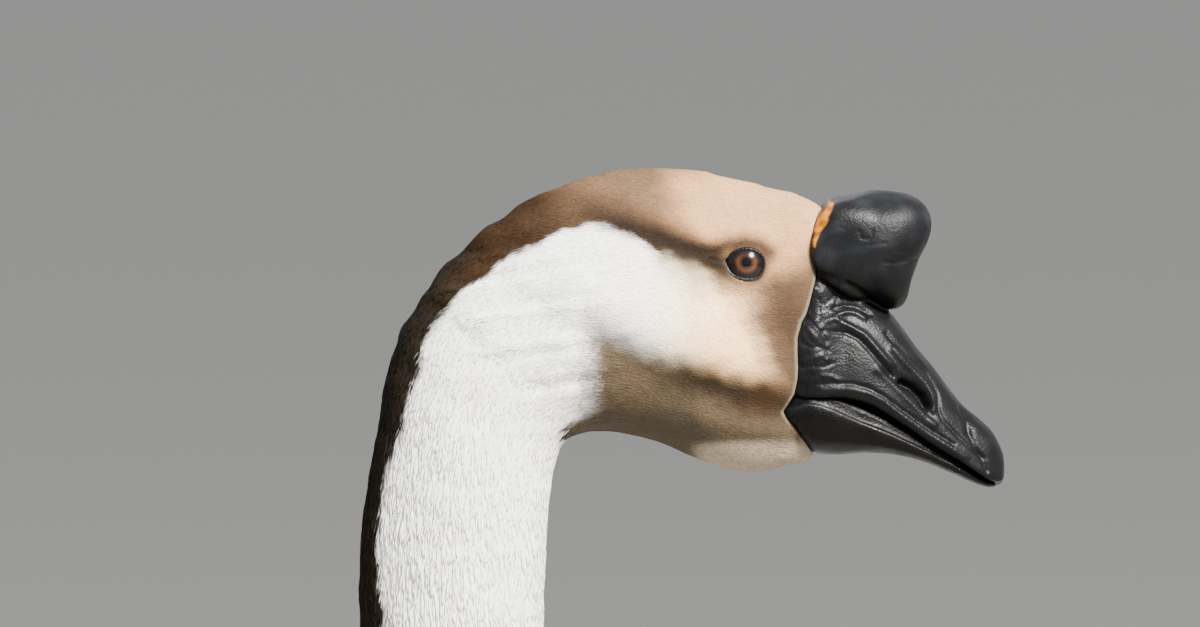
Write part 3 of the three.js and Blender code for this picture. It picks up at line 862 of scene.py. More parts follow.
# lines raised or cut in the side of the bill: the line, its width and its height, in millimetres
billFolds = [
    ([(48.5, -36.4), (54.0, -41.0), (58.3, -44.6), (62, -49.6)], 2.3, -1.0),  # hollow round the nostril
    ([(53.0, -39.4), (56.4, -41.0), (59.4, -44.0), (61.3, -47.4)], 1.25, -3.6),  # nostril
    # fold over it
    ([(49.9, -28.5), (53.3, -32.6), (57, -36.4), (60.4, -39.8), (62.6, -44), (62.9, -48.8)], 1.3, 1.1),
    ([(44.5, -35.6), (50.2, -40.6), (54.9, -45.6), (59.1, -49.6), (63.3, -54)], 1.2, 0.7),  # ridge under it
    # beside the ridge of the bill
    ([(47.4, -23), (49.5, -25.4), (54.1, -30.1), (57.9, -33.1), (61.2, -36.6), (63.2, -40), (64.8, -44),
      (65, -48.6), (66.2, -52), (69.4, -55.4), (73, -59), (77.2, -62.6), (80.4, -65)], 0.65, -0.65),
    ([(72.8, -47.4), (75.6, -52), (75.2, -57)], 1.3, -0.5),  # behind the nail
    ([(72.6, -46.8), (74.2, -52), (75.6, -57), (77.4, -61.6), (79.8, -65.4), (81.4, -69.4)], 0.75, -0.7),
    ([(78.6, -55), (82, -60.4), (84, -66)], 2.2, 0.35),
    ([(27.3, -18.8), (29.8, -18), (32.8, -19.7), (36.5, -21.6), (39.9, -23.6), (42.4, -26.2),
      (45.7, -30.2), (49.1, -34)], 1.1, 1.0),
    ([(26.4, -22), (29, -22.4), (34, -22.8), (38.2, -24.9), (41.2, -28), (45.2, -32.9),
      (49.2, -37.2)], 0.75, -0.9),
    ([(31.1, -16.8), (34, -15.7), (37.4, -16.3), (40, -18)], 0.8, 0.7),
    ([(29.5, -14.6), (33, -13.6), (37, -14), (42, -16.6)], 0.7, -0.7),
    ([(19.6, -16.4), (23.1, -20.5), (25.8, -23.2), (27.2, -26)], 0.7, -0.9),
    ([(19, -19.4), (22, -22.6), (24.4, -25.6)], 1.0, 0.7),
    ([(18.4, -26), (21.9, -27.8), (25, -27.4), (28, -29)], 0.6, -0.7),
    ([(19.4, -32.4), (22.7, -31.2), (25.6, -30.4), (27.4, -31.8)], 0.9, 0.8),
    ([(19, -34.6), (23, -34), (26.6, -34.2), (29, -33)], 0.6, -0.7),
    ([(21, -40.6), (22.9, -38.9), (25.2, -37.1), (28.6, -37.5), (31, -39)], 0.8, 0.8),
    ([(19, -37.6), (22, -36.4)], 0.6, -0.6),
    ([(23, -40.2), (29, -39.7), (36.5, -40), (42, -41.8), (47, -44.7), (52, -48.4), (57, -52), (63, -56),
      (70, -60.4)], 0.6, -0.6),
    ([(24, -42.2), (34.8, -41.9), (41.5, -43.4), (46.6, -46), (50.8, -49.4), (61.2, -57), (67.5, -60.8),
      (74, -65)], 0.9, 0.55),
    ([(33.7, -6.4), (37, -8.2), (40.4, -10.4), (44.6, -13.6), (47.6, -15.6)], 1.2, -1.0),  # under the knob
    ([(22.5, -2.2), (26, -3.6), (30, -5)], 1.3, -0.9),
    ([(29, -6.5), (34.8, -10), (39, -12.4)], 1.8, 0.8),
    ([(46.5, 1.0), (50, 0.5), (54, 1.4), (57.4, 1.9)], 0.45, -0.5),  # creases of the knob
    ([(50, 3.6), (54, 3.2)], 0.6, 0.3),
    ([(38, 11.4), (38.8, 9), (41.6, 8.6)], 0.5, -0.4),
    ([(42.6, 11.8), (42.2, 9.4)], 0.45, -0.4),
    ([(31, 12.6), (33, 12.2)], 0.6, -0.25),
    ([(40.5, 6.6), (43.6, 7), (47, 7.4)], 0.5, -0.25),
]
lowerRim = [(15, -49), (20, -47), (26, -47.6), (38, -53), (50, -58), (60, -62.6), (70, -67.6)]
lowerKeel = [(16, -54), (26, -57), (40, -58.4), (56, -62.4), (70, -68.6)]
orangeLine = [(28.9, 20.6), (26.2, 16.6), (24.2, 11.6), (23.0, 6.4)]
# colours of the bill: shade is painted shade for the surfaces that face down and for the lower bill, and rim
# a painted highlight along the lower bill's rim
billLook = {
    "voxel": 0.56 * mm, "horn": linear(19, 20, 22), "worn": linear(35, 36, 40),
    "deep": linear(12, 12, 13), "shade": linear(4, 4, 4), "rim": linear(16, 16, 17),
    "orange": linear(202, 124, 6), "rust": linear(84, 44, 12), "gloss": (0.27, 0.5),
}


def sectionForm(rows, profile):
    line, edge = smoothLine(rows, 600), smoothLine(profile, 300)

    def place(share, turn):
        topX, topZ, lowX, lowZ, half = line[np.rint(share * 599).astype(int)].T
        down, wide = edge[np.rint(np.abs(turn) / math.pi * 299).astype(int)].T
        across, up = topX + (lowX - topX) * down, topZ + (lowZ - topZ) * down
        return np.stack([across, np.sign(turn) * wide * half, up], 1) * mm + headZero

    return place


def buildKnob():
    piece = addBall(96, 64)
    x, y, z = readPoints(piece).T
    degrees = np.degrees(np.arctan2(z, x))
    radius = np.full(len(x), knob["radius"])
    for middle, width, height in knobLobes:
        radius += height * mound((degrees - middle + 180) % 360 - 180, 0, width)
    flat = np.clip(np.hypot(x, z), 0, 1)
    square = 2.2 + 2.2 * ease(x, 0.2, -0.6)  # fuller towards the forehead
    wide = np.sign(y) * knob["half"] * (1 - flat**square) ** (1 / square)
    shaped = np.stack([knob["ahead"] + x * radius, wide, knob["up"] + z * radius], 1)
    return writePoints(piece, shaped * mm + headZero)


def cracks(points, size):
    # 1 on the borders of uneven cells, as in creased skin
    nearest = [noise.voronoi(point)[0] for point in (points / size).tolist()]
    return np.exp(-((np.array([near[1] - near[0] for near in nearest]) / 0.12) ** 2))


def meetHead(piece):
    # the bill's base widens to the head's own width where the feathers end
    heights = np.linspace(-44, -1, 22)
    borderAhead, borderUp = np.array(billBorder)[::-1].T
    edges = np.interp(heights, borderUp, borderAhead)
    own = treeOf(piece)
    ratios = []
    for ahead, height in zip(edges, heights):
        hits = []
        for tree, step in ((skinTree, -2), (own, 1.5)):
            place = headZero + np.array([ahead + step, 0, height + 1.3]) * mm
            hits.append(tree.ray_cast(Vector(place), Vector((0, -1, 0)))[0])
        ratios.append(1 if None in hits else np.clip((-hits[0].y - 0.3 * mm) / -hits[1].y, 1, 1.5))
    ratios = np.convolve(np.pad(ratios, 2, mode="edge"), np.ones(5) / 5, "valid")
    points = readPoints(piece)
    across, up = sideView(points)
    ratio = np.interp(up, heights, ratios, left=ratios[0], right=1)
    points[:, 1] *= 1 + (ratio - 1) * ease(across - np.interp(up, heights, edges), 17, 1)
    writePoints(piece, points)


def buildUpperBill():
    bill = loftPiece("upperBill", 96, 110, sectionForm(upperBill, billSection))
    meetHead(bill)
    remeshed(joined(bill, buildKnob()), billLook["voxel"], 4)
    points, normals = readForm(bill)
    across, up = sideView(points)
    facing = ease(np.abs(normals[:, 1]), 0.1, 0.5)
    lift = foldHeight(across, up, billFolds) * (facing * (0.85 - 0.4 * ease(across, 36, 26)))
    # creased skin at the bill's base and, finer, on the knob
    wander = [waver(points * 2.1), waver(points * 1.7 + 0.1), waver(points * 2.4 + 0.3)]
    bent = points + 0.9 * mm * np.stack(wander, 1)
    atBase = ease(across - up * 0.25, 44, 32) * ease(up, 2, -8)
    onKnob = ease(up + (across - 40) * 0.3, -10, -4)
    lift -= mm * 0.17 * atBase * cracks(bent, 3.8 * mm)
    lift -= mm * 0.07 * onKnob * cracks(bent, 3 * mm) * mound(np.hypot(across - 40, up - 9), 0, 10)
    lift += 0.1 * mm * waver(points * 1.2)
    under = ease(aheadOfBorder(across, up), 0.5, -2.5)
    smoothed(writePoints(bill, points + normals * (lift * (1 - under) - under * 2.2 * mm)[:, None]), 1, 0.4)

    # worn horn, darker below, with painted shade where the surface faces down, and orange skin along the back
    # of the knob
    points, normals = readForm(bill)
    across, up = sideView(points)
    wide = 0.3 + 1.2 * mound(up, 14.6, 4.2)
    nearLine = np.abs(lineDistance(across, up, orangeLine)) + 0.5 * waver(points * 3.3)
    colour = blend(billLook["horn"], billLook["worn"], ease(waver(points * 1.6), -0.2, 0.8) * 0.6)
    colour = blend(colour, billLook["deep"], ease(up - across * 0.1, -2, -12) * 0.75)
    # painted shade: the horn goes to the shade colour where the surface faces down
    colour = blend(billLook["shade"], colour, ease(normals[:, 2], -0.6, 0.2))
    orange = blend(billLook["orange"], billLook["rust"], ease(waver(points * 4.1), -0.1, 0.4) * 0.6)
    paintPlumage(bill, blend(colour, orange, ease(nearLine, wide + 0.6, wide - 0.3) * ease(up, 5, 7)))
    return bill


def buildLowerBill():
    bill = loftPiece("billLower", 84, 110, sectionForm(lowerBill, lowerSection))
    points, normals = readForm(bill)
    # the tongue and the rows inside the rim close the mouth from within
    across, up = sideView(points)
    rows = np.array(lowerBill)
    half = np.interp(across, (rows[:, 0] + rows[:, 2]) / 2, rows[:, 4])
    inner = ease(half - np.abs(points[:, 1]) / mm, 1.0, 1.9) * (normals[:, 2] > 0) * ease(across, 82, 70)
    points[:, 2] += inner * np.interp(across, [16, 40, 70], [4.4, 4.6, 2.6]) * mm
    points, normals = readForm(writePoints(bill, points))
    across, up = sideView(points)
    rim, keel = lineDistance(across, up, lowerRim), lineDistance(across, up, lowerKeel)
    lift = 0.3 * mound(rim, 0, 0.9) - 0.35 * mound(keel, 0, 1.0)
    lift = lift - 0.04 * cracks(points, 3 * mm) + 0.1 * waver(points * 1.7)
    under = ease(aheadOfBorder(across, up), 0.3, -2)
    lift = lift * ease(np.abs(normals[:, 1]), 0.1, 0.5) * (1 - under) - under * 1.6
    writePoints(bill, points + normals * (lift * mm)[:, None])
    # black horn painted darker still as shade, with a painted highlight along the rim
    paintPlumage(bill, blend(billLook["shade"], billLook["rim"], mound(rim, 0, 1.2) * 0.8))
    return bill


def billMaterial():
    material, tree, shader = newMaterial("billHorn", billLook["horn"], 0.34, Specular_IOR_Level=0.11)
    addMottle(tree, shader, paintedColour(tree)[0], 130, 0.8)
    worn = texture(tree, "Noise", Scale=110, Detail=5, Roughness=0.65).outputs["Fac"]
    gloss = addNode(tree, "MapRange", worn, 0.3, 0.7, *billLook["gloss"])
    feed(tree, shader.inputs["Roughness"], gloss.outputs["Result"])
    addPores(tree, shader, 1300, 420, 1.4, 0.2, 0.4 * mm)
    return material


billSkin = billMaterial()
billUpper = buildUpperBill()
finished(billUpper, billSkin, "bill", "bill_upper", "bill_nail", "knob")
finished(buildLowerBill(), billSkin, "bill", "bill_lower")
print("bill and knob:", len(billUpper.data.polygons), "faces")


# Eyes and lids

eyes = {  # lengths in millimetres
    "pupil": 1.6,
    "iris": 4.4,
    "cornea": 5.2,
    "bulge": 0.5,
    "gazeUp": 1.0,
    "gazeAhead": 0.2,
    "black": (0.002, 0.003, 0.004),
    "shade": (0.004, 0.004, 0.005),
    "inner": linear(44, 26, 14),
    "brown": linear(78, 48, 29),
    "outer": linear(46, 25, 16),
    "lid": (0.006, 0.005, 0.005),
    "dryLid": linear(52, 41, 31),
}
sideNames = {1: "Left", -1: "Right"}


def eyeMaterial():
    material, tree, shader = newMaterial(
        "eye", (0.2, 0.1, 0.05), 0.2, Coat_Weight=0.3, Coat_Roughness=0.02, Specular_IOR_Level=0.1
    )
    away = (-eyeMiddle.x - eyes["gazeAhead"] * mm, 0, -eyeMiddle.z - eyes["gazeUp"] * mm)
    centred = addNode(tree, "Mapping", vector_type="POINT", Vector=ownPlace(tree), Location=away).outputs[0]
    flat = addNode(tree, "VectorMath", centred, (1, 0, 1), operation="MULTIPLY").outputs[0]
    ring = addNode(tree, "VectorMath", flat, operation="LENGTH").outputs["Value"]
    streaks = texture(tree, "Noise", Scale=900, Detail=3).outputs["Fac"]
    share = maths(tree, "MULTIPLY_ADD", streaks, 0.07, maths(tree, "DIVIDE", ring, 10 * mm))
    ramp = addNode(tree, "ValToRGB", share)
    pupil, iris = eyes["pupil"] / 10, eyes["iris"] / 10
    stops = [
        (0.0, eyes["black"]),
        (pupil + 0.02, eyes["black"]),
        (pupil + 0.05, eyes["inner"]),
        (0.33, eyes["brown"]),
        (iris - 0.02, eyes["outer"]),
        (iris + 0.03, eyes["lid"]),
    ]
    for _ in stops[2:]:
        ramp.color_ramp.elements.new(0.5)
    for element, (at, colour) in zip(ramp.color_ramp.elements, stops):
        element.position = at
        element.color = (*colour, 1)
    # the upper lid's shade on the iris
    shade = maths(tree, "MULTIPLY", easeNode(tree, partsOf(tree, centred)["Z"], 0, 3.2 * mm), 0.8)
    colour = mixNode(tree, shade, ramp.outputs["Color"], eyes["shade"])
    feed(tree, shader.inputs["Base Color"], colour)
    return material


def placeAtEye(piece, name, side, points):
    piece.name = name + sideNames[side]
    return writePoints(piece, points + [eyeMiddle.x, side * eyeSide, eyeMiddle.z])


def buildEye(side):
    piece = addBall(96, 64, eyeRadius, turn=(math.pi / 2, 0, 0))
    points = readPoints(piece)
    ring = np.hypot(points[:, 0] / mm - eyes["gazeAhead"], points[:, 2] / mm - eyes["gazeUp"])
    outward = points[:, 1] * side > 0
    points[:, 1] += side * outward * eyes["bulge"] * mm * np.clip(1 - (ring / eyes["cornea"]) ** 2, 0, 1)
    return placeAtEye(piece, "eyeBall", side, points)


def buildLid(side):
    # a ring round the eye's opening, with its rear corner drawn out and a broader lower lid
    clearSelection()
    bpy.ops.mesh.primitive_torus_add(major_segments=140, minor_segments=24, major_radius=1, minor_radius=0.25)
    piece = bpy.context.object
    x, y, z = readPoints(piece).T
    tube = np.arctan2(z, np.hypot(x, y) - 1)
    place = np.rint((np.arctan2(y, x) % (2 * math.pi)) / (2 * math.pi) * 140).astype(int) % 140
    ring = lidRing(140)
    ahead = unit(np.roll(ring[:, :2], -1, axis=0) - np.roll(ring[:, :2], 1, axis=0))
    x, z, thick = ring[place].T
    beads = 1 + 0.13 * np.sin(place * 1.35) * np.clip(np.sin(tube + 0.6), 0, 1) * (z > -1)
    ball = np.sqrt(np.maximum((eyeRadius / mm) ** 2 - x**2 - z**2, 20))
    y = ball - 0.35 * (thick - 0.5) + np.sin(tube) * thick * 0.8 * beads + 0.1
    x = x + ahead[place, 1] * np.cos(tube) * thick
    z = z - ahead[place, 0] * np.cos(tube) * thick
    return mended(placeAtEye(piece, "lid", side, np.stack([x, side * y, z], 1) * mm))


def lidMaterial():
    # wet black skin at the eye, dry and tan where the lower lid meets the feathers
    material, tree, shader = newMaterial("lidSkin", eyes["lid"], 0.4, Specular_IOR_Level=0.15)
    place = partsOf(tree, ownPlace(tree))
    x = maths(tree, "MULTIPLY", maths(tree, "SUBTRACT", place["X"], eyeMiddle.x), 0.9)
    z = maths(tree, "SUBTRACT", place["Z"], eyeMiddle.z)
    ring = maths(tree, "SQRT", maths(tree, "ADD", maths(tree, "POWER", x, 2), maths(tree, "POWER", z, 2)))
    outer, lower = easeNode(tree, ring, 5.35 * mm, 5.8 * mm), easeNode(tree, z, 1 * mm, -2 * mm)
    dry = maths(tree, "MULTIPLY", outer, lower)
    feed(tree, shader.inputs["Base Color"], mixNode(tree, dry, eyes["lid"], eyes["dryLid"]))
    addPores(tree, shader, 1600, 600, 1, 0.15, 0.4 * mm)
    return material


lidSkin = lidMaterial()
eyeGlass = eyeMaterial()
for side, node in ((1, "eye_left"), (-1, "eye_right")):
    finished(buildEye(side), eyeGlass, "eye", node)
    finished(buildLid(side), lidSkin, "bill")
print("eyes and lids built")


# Legs and feet

legs = {
    "voxel": 0.9 * mm,
    "clawVoxel": 0.4 * mm,
    "scales": 480,
    "colour": linear(188, 92, 10),
    "groove": linear(122, 54, 8),
    "claw": (0.05, 0.04, 0.033),
    "rise": 12 * mm,  # how far the shank's top goes on up into the feathers
}


def legMaterial():
    # small scales with darker grooves between them
    material, tree, shader = newMaterial("legSkin", legs["colour"], 0.45, Specular_IOR_Level=0.35)
    cells = texture(tree, "Voronoi", feature="DISTANCE_TO_EDGE", Scale=legs["scales"])
    raised = easeNode(tree, cells.outputs["Distance"], 0.0, 0.2)
    addMottle(tree, shader, mixNode(tree, raised, legs["groove"], legs["colour"]), 90, 0.6)
    addBump(tree, shader, raised, 0.45, 0.4 * mm)
    return material


def clawMaterial():
    material, tree, shader = newMaterial("clawHorn", legs["claw"], 0.35)
    addMottle(tree, shader, legs["claw"], 90, 0.7)
    addPores(tree, shader, 900, 300, 0.6, 0.2, 0.5 * mm)
    return material


legSkin, clawHorn = legMaterial(), clawMaterial()
for side in ("left", "right"):
    nodes = ["shank_" + side, "foot_" + side, "hind_toe_" + side]
    leg = remeshed(copyNodes("leg" + side.capitalize(), nodes, 0.25 * mm), legs["voxel"], 5)
    points = readPoints(leg)
    points[:, 2] = np.maximum(points[:, 2], 0)
    top = points[:, 2].max()
    rise = ease(points[:, 2], top - 9 * mm, top)
    middle = points[points[:, 2] > top - 12 * mm].mean(0)
    points[:, :2] += (middle[:2] - points[:, :2]) * (rise * 0.4)[:, None]
    points[:, 2] += rise * legs["rise"]
    finished(writePoints(leg, points), legSkin, "leg_skin", *nodes)
    for toe in ("inner", "middle", "outer", "hind"):
        node = "claw_" + toe + "_" + side
        claw = copyNodes("claw" + toe.capitalize() + side.capitalize(), [node], 0.1 * mm)
        finished(remeshed(claw, legs["clawVoxel"], 3), clawHorn, "claw", node)
print("legs built")


# Places for feathers, and how they lie

feathers = {"density": 3.0, "bakePatch": 0.003}  # tries for each area of a feather, and a bake patch's width


def spread(points, reach):
    # keeps places so that no two are nearer than their reach
    tree = KDTree(len(points))
    places = points.tolist()
    for i, place in enumerate(places):
        tree.insert(place, i)
    tree.balance()
    free = np.ones(len(points), bool)
    kept = []
    for i, place in enumerate(places):
        if free[i]:
            kept.append(i)
            free[[near[1] for near in tree.find_range(place, reach)]] = False
    return np.array(kept, int)


def scatter(chosen, reach):
    # even places over the skin's triangles that chosen() keeps
    corners = skinPoints[skinTriangles]
    area = np.linalg.norm(np.cross(corners[:, 1] - corners[:, 0], corners[:, 2] - corners[:, 0]), axis=1) / 2
    area = np.where(chosen(corners.mean(1)), area, 0)
    count = int(area.sum() / reach**2 * feathers["density"])
    which = chance.choice(len(area), count, p=area / area.sum())
    a, b = chance.random(count), chance.random(count)
    flip = a + b > 1
    a, b = np.where(flip, 1 - a, a), np.where(flip, 1 - b, b)
    weights = np.stack([1 - a - b, a, b], 1)[:, :, None]
    points = (corners[which] * weights).sum(1)
    normals = unit((skinNormals[skinTriangles[which]] * weights).sum(1))
    kept = spread(points, reach)
    return points[kept], normals[kept]


def lieOf(points, normals):
    # feathers lie from the bill to the tail, and down the legs
    index, _ = alongBody(points)
    ahead = np.stack([spineAhead[index, 0], np.zeros(len(points)), spineAhead[index, 1]], 1)
    onLegs = ease(points[:, 2], skin["legTop"] + 20 * mm, skin["legTop"])[:, None]
    ahead = ahead * (1 - onLegs) + np.array([-0.25, 0, -1]) * onLegs
    ahead -= normals * (ahead * normals).sum(1)[:, None]
    return unit(ahead)


def surfaceNear(points, lift, share):
    # the skin's nearest points, lifted off it by a share of the feathers' lift
    found = [skinTree.find_nearest(point) for point in points.tolist()]
    hits, normals = np.array([near[0] for near in found]), np.array([near[1] for near in found])
    return hits + normals * (lift * share)[:, None]


def onBody(along, turn):
    # the skin's point at a place along the spine, in millimetres, and a turn to either side, in degrees
    index = min(int(np.searchsorted(spineLength, along * mm)), len(spine) - 1)
    upX, upZ = spineUp[index]
    middle, half = bodyMiddle[index], bodyHalf[index]
    centre = Vector((spine[index, 0] + upX * middle, 0, spine[index, 1] + upZ * middle))
    rise, side = math.cos(math.radians(turn)) * half, math.sin(math.radians(turn)) * bodyWide[index]
    out = Vector((upX * rise, side, upZ * rise)).normalized()
    hit, normal, _, _ = skinTree.ray_cast(centre + out * 0.25, -out, 0.25)
    if hit is None:
        hit, normal = centre + out * half, out
    return np.array(hit), np.array(normal)


def featherForm(name, sides, stations, thick, ridge, droop):
    # one feather, modelled once: half widths along it, thickness, the shaft's ridge, and how the vane droops
    stations = np.array(stations, float)

    def place(share, turn):
        along, half = stations[np.rint(share * (len(stations) - 1)).astype(int)].T
        across, above = np.cos(turn), np.sin(turn)
        lift = np.where(above > 0.01, ridge * (1 - np.abs(across)), np.where(above < -0.01, -thick, 0))
        return np.stack([across * half, along, lift * (half > 0.02) - droop * (across * half) ** 2], 1)

    piece = loftPiece(name, sides, len(stations) - 1, place)
    points, faces = readPoints(piece), facesOf(piece)
    bpy.data.objects.remove(piece)
    half = np.interp(points[:, 1], stations[:, 0], stations[:, 1])
    across = np.where(half > 0.02, points[:, 0] / np.maximum(half, 0.02), 0)
    return points, faces, np.stack([across, points[:, 1]], 1)


def plant(name, coat, line, normals, widths, colours, fringes):
    # every feather is a copy of the coat's form, laid along its own bent line of root, middle and tip
    shape, faces, vaneMap = coat["form"]
    roots, middles, tips = line
    count, corners = len(roots), len(shape)
    sides = unit(np.cross(tips - roots, normals))
    v = shape[:, 1][None, :, None]
    first, second, third = (1 - v) * (1 - 2 * v), 4 * v * (1 - v), v * (2 * v - 1)
    points = roots[:, None] * first + middles[:, None] * second + tips[:, None] * third
    across = shape[:, 0][None, :, None] * widths[:, None, None] * 0.5
    height = shape[:, 2][None, :, None] * widths[:, None, None]
    points = points + sides[:, None] * across + normals[:, None] * height

    mesh = bpy.data.meshes.new(name)
    flat = np.concatenate(faces)
    loops = (flat[None, :] + np.arange(count)[:, None] * corners).ravel()
    starts = np.cumsum([0] + [len(face) for face in faces])
    mesh.vertices.add(count * corners)
    mesh.vertices.foreach_set("co", points.astype(np.float32).ravel())
    mesh.loops.add(len(loops))
    mesh.loops.foreach_set("vertex_index", loops.astype(np.int32))
    mesh.polygons.add(count * len(faces))
    starts = starts[:-1][None, :] + np.arange(count)[:, None] * starts[-1]
    mesh.polygons.foreach_set("loop_start", starts.astype(np.int32).ravel())
    mesh.update(calc_edges=True)
    if coat["soft"]:
        own = readThrees(mesh.vertices, "normal").astype(np.float32)
        shared = np.repeat(normals, corners, axis=0) * coat["soft"] + own * (1 - coat["soft"])
        mesh.normals_split_custom_set_from_vertices(unit(shared).tolist())
    piece = bpy.data.objects.new(name, mesh)
    bpy.context.scene.collection.objects.link(piece)
    paintPlumage(piece, np.repeat(colours, corners, axis=0), np.repeat(fringes, corners))

    # the bake map: each feather is a small patch at its root's place along and round the body
    index, rise = alongBody(roots)
    along = spineLength[index]
    along = (along - along.min()) / max(np.ptp(along), 1e-6)
    turn = roundBody(roots, index, rise) * np.sign(roots[:, 1]) / (2 * math.pi) + 0.5
    place = np.stack([along, turn], 1) * (0.995 - feathers["bakePatch"])
    local = (vaneMap[flat] * [0.5, 1] + [0.5, 0]) * feathers["bakePatch"]
    for layer, spots in (("OFBake", place[:, None] + local), ("vane", np.tile(vaneMap[flat], (count, 1)))):
        mesh.uv_layers.new(name=layer).data.foreach_set("uv", spots.astype(np.float32).ravel())
    finished(piece, coat["material"], coat["slot"])
    print(name + ":", count, "feathers,", count * sum(len(face) - 2 for face in faces), "triangles")


def varied(count, amount):
    return chance.uniform(1 - amount, 1 + amount, count)


def turned(lies, normals, amount):
    return unit(lies + np.cross(lies, normals) * chance.normal(0, amount, (len(lies), 1)))


def tint(colours, amount):
    return colours * (1 + chance.normal(0, amount, (len(colours), 1)))


def turnOf(points):  # degrees round the body
    index, rise = alongBody(points)
    return np.degrees(roundBody(points, index, rise))


def lay(name, coat, roots, normals, lie, length, width, lift, fringes=0):
    # a coat's feathers follow the skin, with their roots sunk in it
    middles = surfaceNear(roots + lie * (length * 0.5)[:, None], lift, 0.6)
    tips = surfaceNear(roots + lie * length[:, None], lift, 1)
    pieces = coat.get("pieces", 1)
    colours = tint(markingsAndShade(middles if coat.get("markedAtMiddle") else roots), coat["tint"])
    line = np.stack([roots - normals * coat["sink"], middles, tips])
    fringes = np.broadcast_to(fringes, len(roots))
    for i in range(pieces):
        part = slice(i, None, pieces)
        number = str(i + 1) if pieces > 1 else ""
        plant(name + number, coat, line[:, part], normals[part], width[part], colours[part], fringes[part])


def cover(name, coat, roots, normals, shares, fringes=0):
    # each measure is a share of the coat's own, and its chance is drawn in the order that the coat gives
    made = {measure: coat[measure] * share for measure, share in shares.items()}
    for measure, amount in coat["chance"].items():
        if measure == "lie":
            made[measure] = turned(lieOf(roots, normals), normals, amount)
        else:
            made[measure] = made[measure] * varied(len(roots), amount)
    lay(name, coat, roots, normals, fringes=fringes, **made)


softCoat = featherMaterial("softFeathers", 0, 900, 0.2)
vaneCoat = featherMaterial("vanedFeathers", 0.7, 500, 0.3)

hairForm = featherForm("hairForm", 3, [(0, 0.0), (0.3, 0.95), (0.7, 0.8), (1, 0.0)], 0.03, 0.05, 0)
softLine = [(0, 0.0), (0.3, 0.75), (0.65, 1.0), (0.88, 0.62), (1, 0.0)]
softForm = featherForm("softForm", 4, softLine, 0.02, 0.06, 0.08)
vaneLine = [(0, 0.0), (0.14, 0.4), (0.4, 0.86), (0.66, 1.0), (0.86, 0.8), (0.96, 0.45), (1, 0.0)]
vaneForm = featherForm("vaneForm", 6, vaneLine, 0.012, 0.05, 0.12)
quillLine = [(0, 0.0), (0.05, 0.3), (0.2, 0.72), (0.4, 0.92), (0.6, 1.0)]
quillLine += [(0.78, 0.98), (0.9, 0.8), (0.97, 0.48), (1, 0.0)]
quillForm = featherForm("quillForm", 8, quillLine, 0.016, 0.05, 0.1)


# The coat of the head: short hair-like feathers, shortest at the bill and round the eyes

headCoat = {
    "reach": 0.54 * mm, "length": 2.8 * mm, "width": 0.56 * mm, "lift": 0.04 * mm, "sink": 0.05 * mm,
    "chance": {"length": 0.25, "width": 0.2, "lift": 0.4, "lie": 0.12}, "tint": 0.1,
    "pieces": 3, "markedAtMiddle": True,
    "form": hairForm, "material": softCoat, "slot": "head_feathers", "soft": 0.62,
}


def onHead(points):
    across, up = sideView(points)
    away, thick = fromLids(points)
    clear = (away > thick - 0.1) | (np.abs(points[:, 1]) < 8 * mm)
    return (stationOf(points) * mm < skin["headEnd"]) & (aheadOfBorder(across, up) < -0.1) & clear


def growHead():
    roots, normals = scatter(onHead, headCoat["reach"])
    back = ease(stationOf(roots), 60, 118)
    near = np.maximum(ease(fromLids(roots)[0], 5, 0.5), ease(aheadOfBorder(*sideView(roots)), -4, 0))
    length = (1 + 1.2 * back) * (1 - 0.5 * near)
    lift = (1 + 3 * back) * (1 - 0.4 * near)
    cover("headCoat", headCoat, roots, normals, {"length": length, "width": 1 + 0.7 * back, "lift": lift})


# The coat of the neck: narrow soft feathers in fine furrows, and broader ones below them

neckCoat = {
    **headCoat, "reach": 1.05 * mm, "length": 9 * mm, "width": 1.15 * mm, "lift": 0.22 * mm,
    "sink": 0.3 * mm, "chance": {"length": 0.3, "width": 0.3, "lift": 0.4, "lie": 0.13}, "tint": 0.04,
    "pieces": 1, "markedAtMiddle": False, "slot": "neck_feathers", "soft": 0.42,
}
lowNeck = {
    **neckCoat, "reach": 2.1 * mm, "length": 14 * mm, "width": 3.0 * mm, "lift": 1.3 * mm,
    "sink": 0.5 * mm, "chance": {"lie": 0.12, "length": 0.2, "lift": 0.4, "width": 0.2},
    "form": softForm, "soft": 0.4,
}
neckEnds = {"start": 114, "lowStart": 216, "end": 222, "lowEnd": 356}  # along the spine


def between(start, end):  # chooses the skin between two places along the spine
    return lambda points: abs(stationOf(points) - (start + end) / 2) < (end - start) / 2


def growNeck():
    roots, normals = scatter(between(neckEnds["start"], neckEnds["end"]), neckCoat["reach"])
    start = ease(stationOf(roots), neckEnds["start"], 180)
    ruffled = 1 + 0.55 * waver(roots * [0.5, 0.5, 0.9])
    lift = (0.45 + 0.55 * start) * ruffled
    shares = {"length": 0.55 + 0.45 * start, "width": 0.6 + 0.4 * start, "lift": lift}
    cover("neckCoat", neckCoat, roots, normals, shares)

    roots, normals = scatter(between(neckEnds["lowStart"], neckEnds["lowEnd"]), lowNeck["reach"])
    grow = 0.5 + 0.5 * ease(stationOf(roots), neckEnds["lowStart"], 300)
    cover("lowNeckCoat", lowNeck, roots, normals, {"length": 0.5 + 0.5 * grow, "width": grow, "lift": grow})


# The coat of the body: rounded feathers with pale edges on the flanks, and soft ones on the thighs

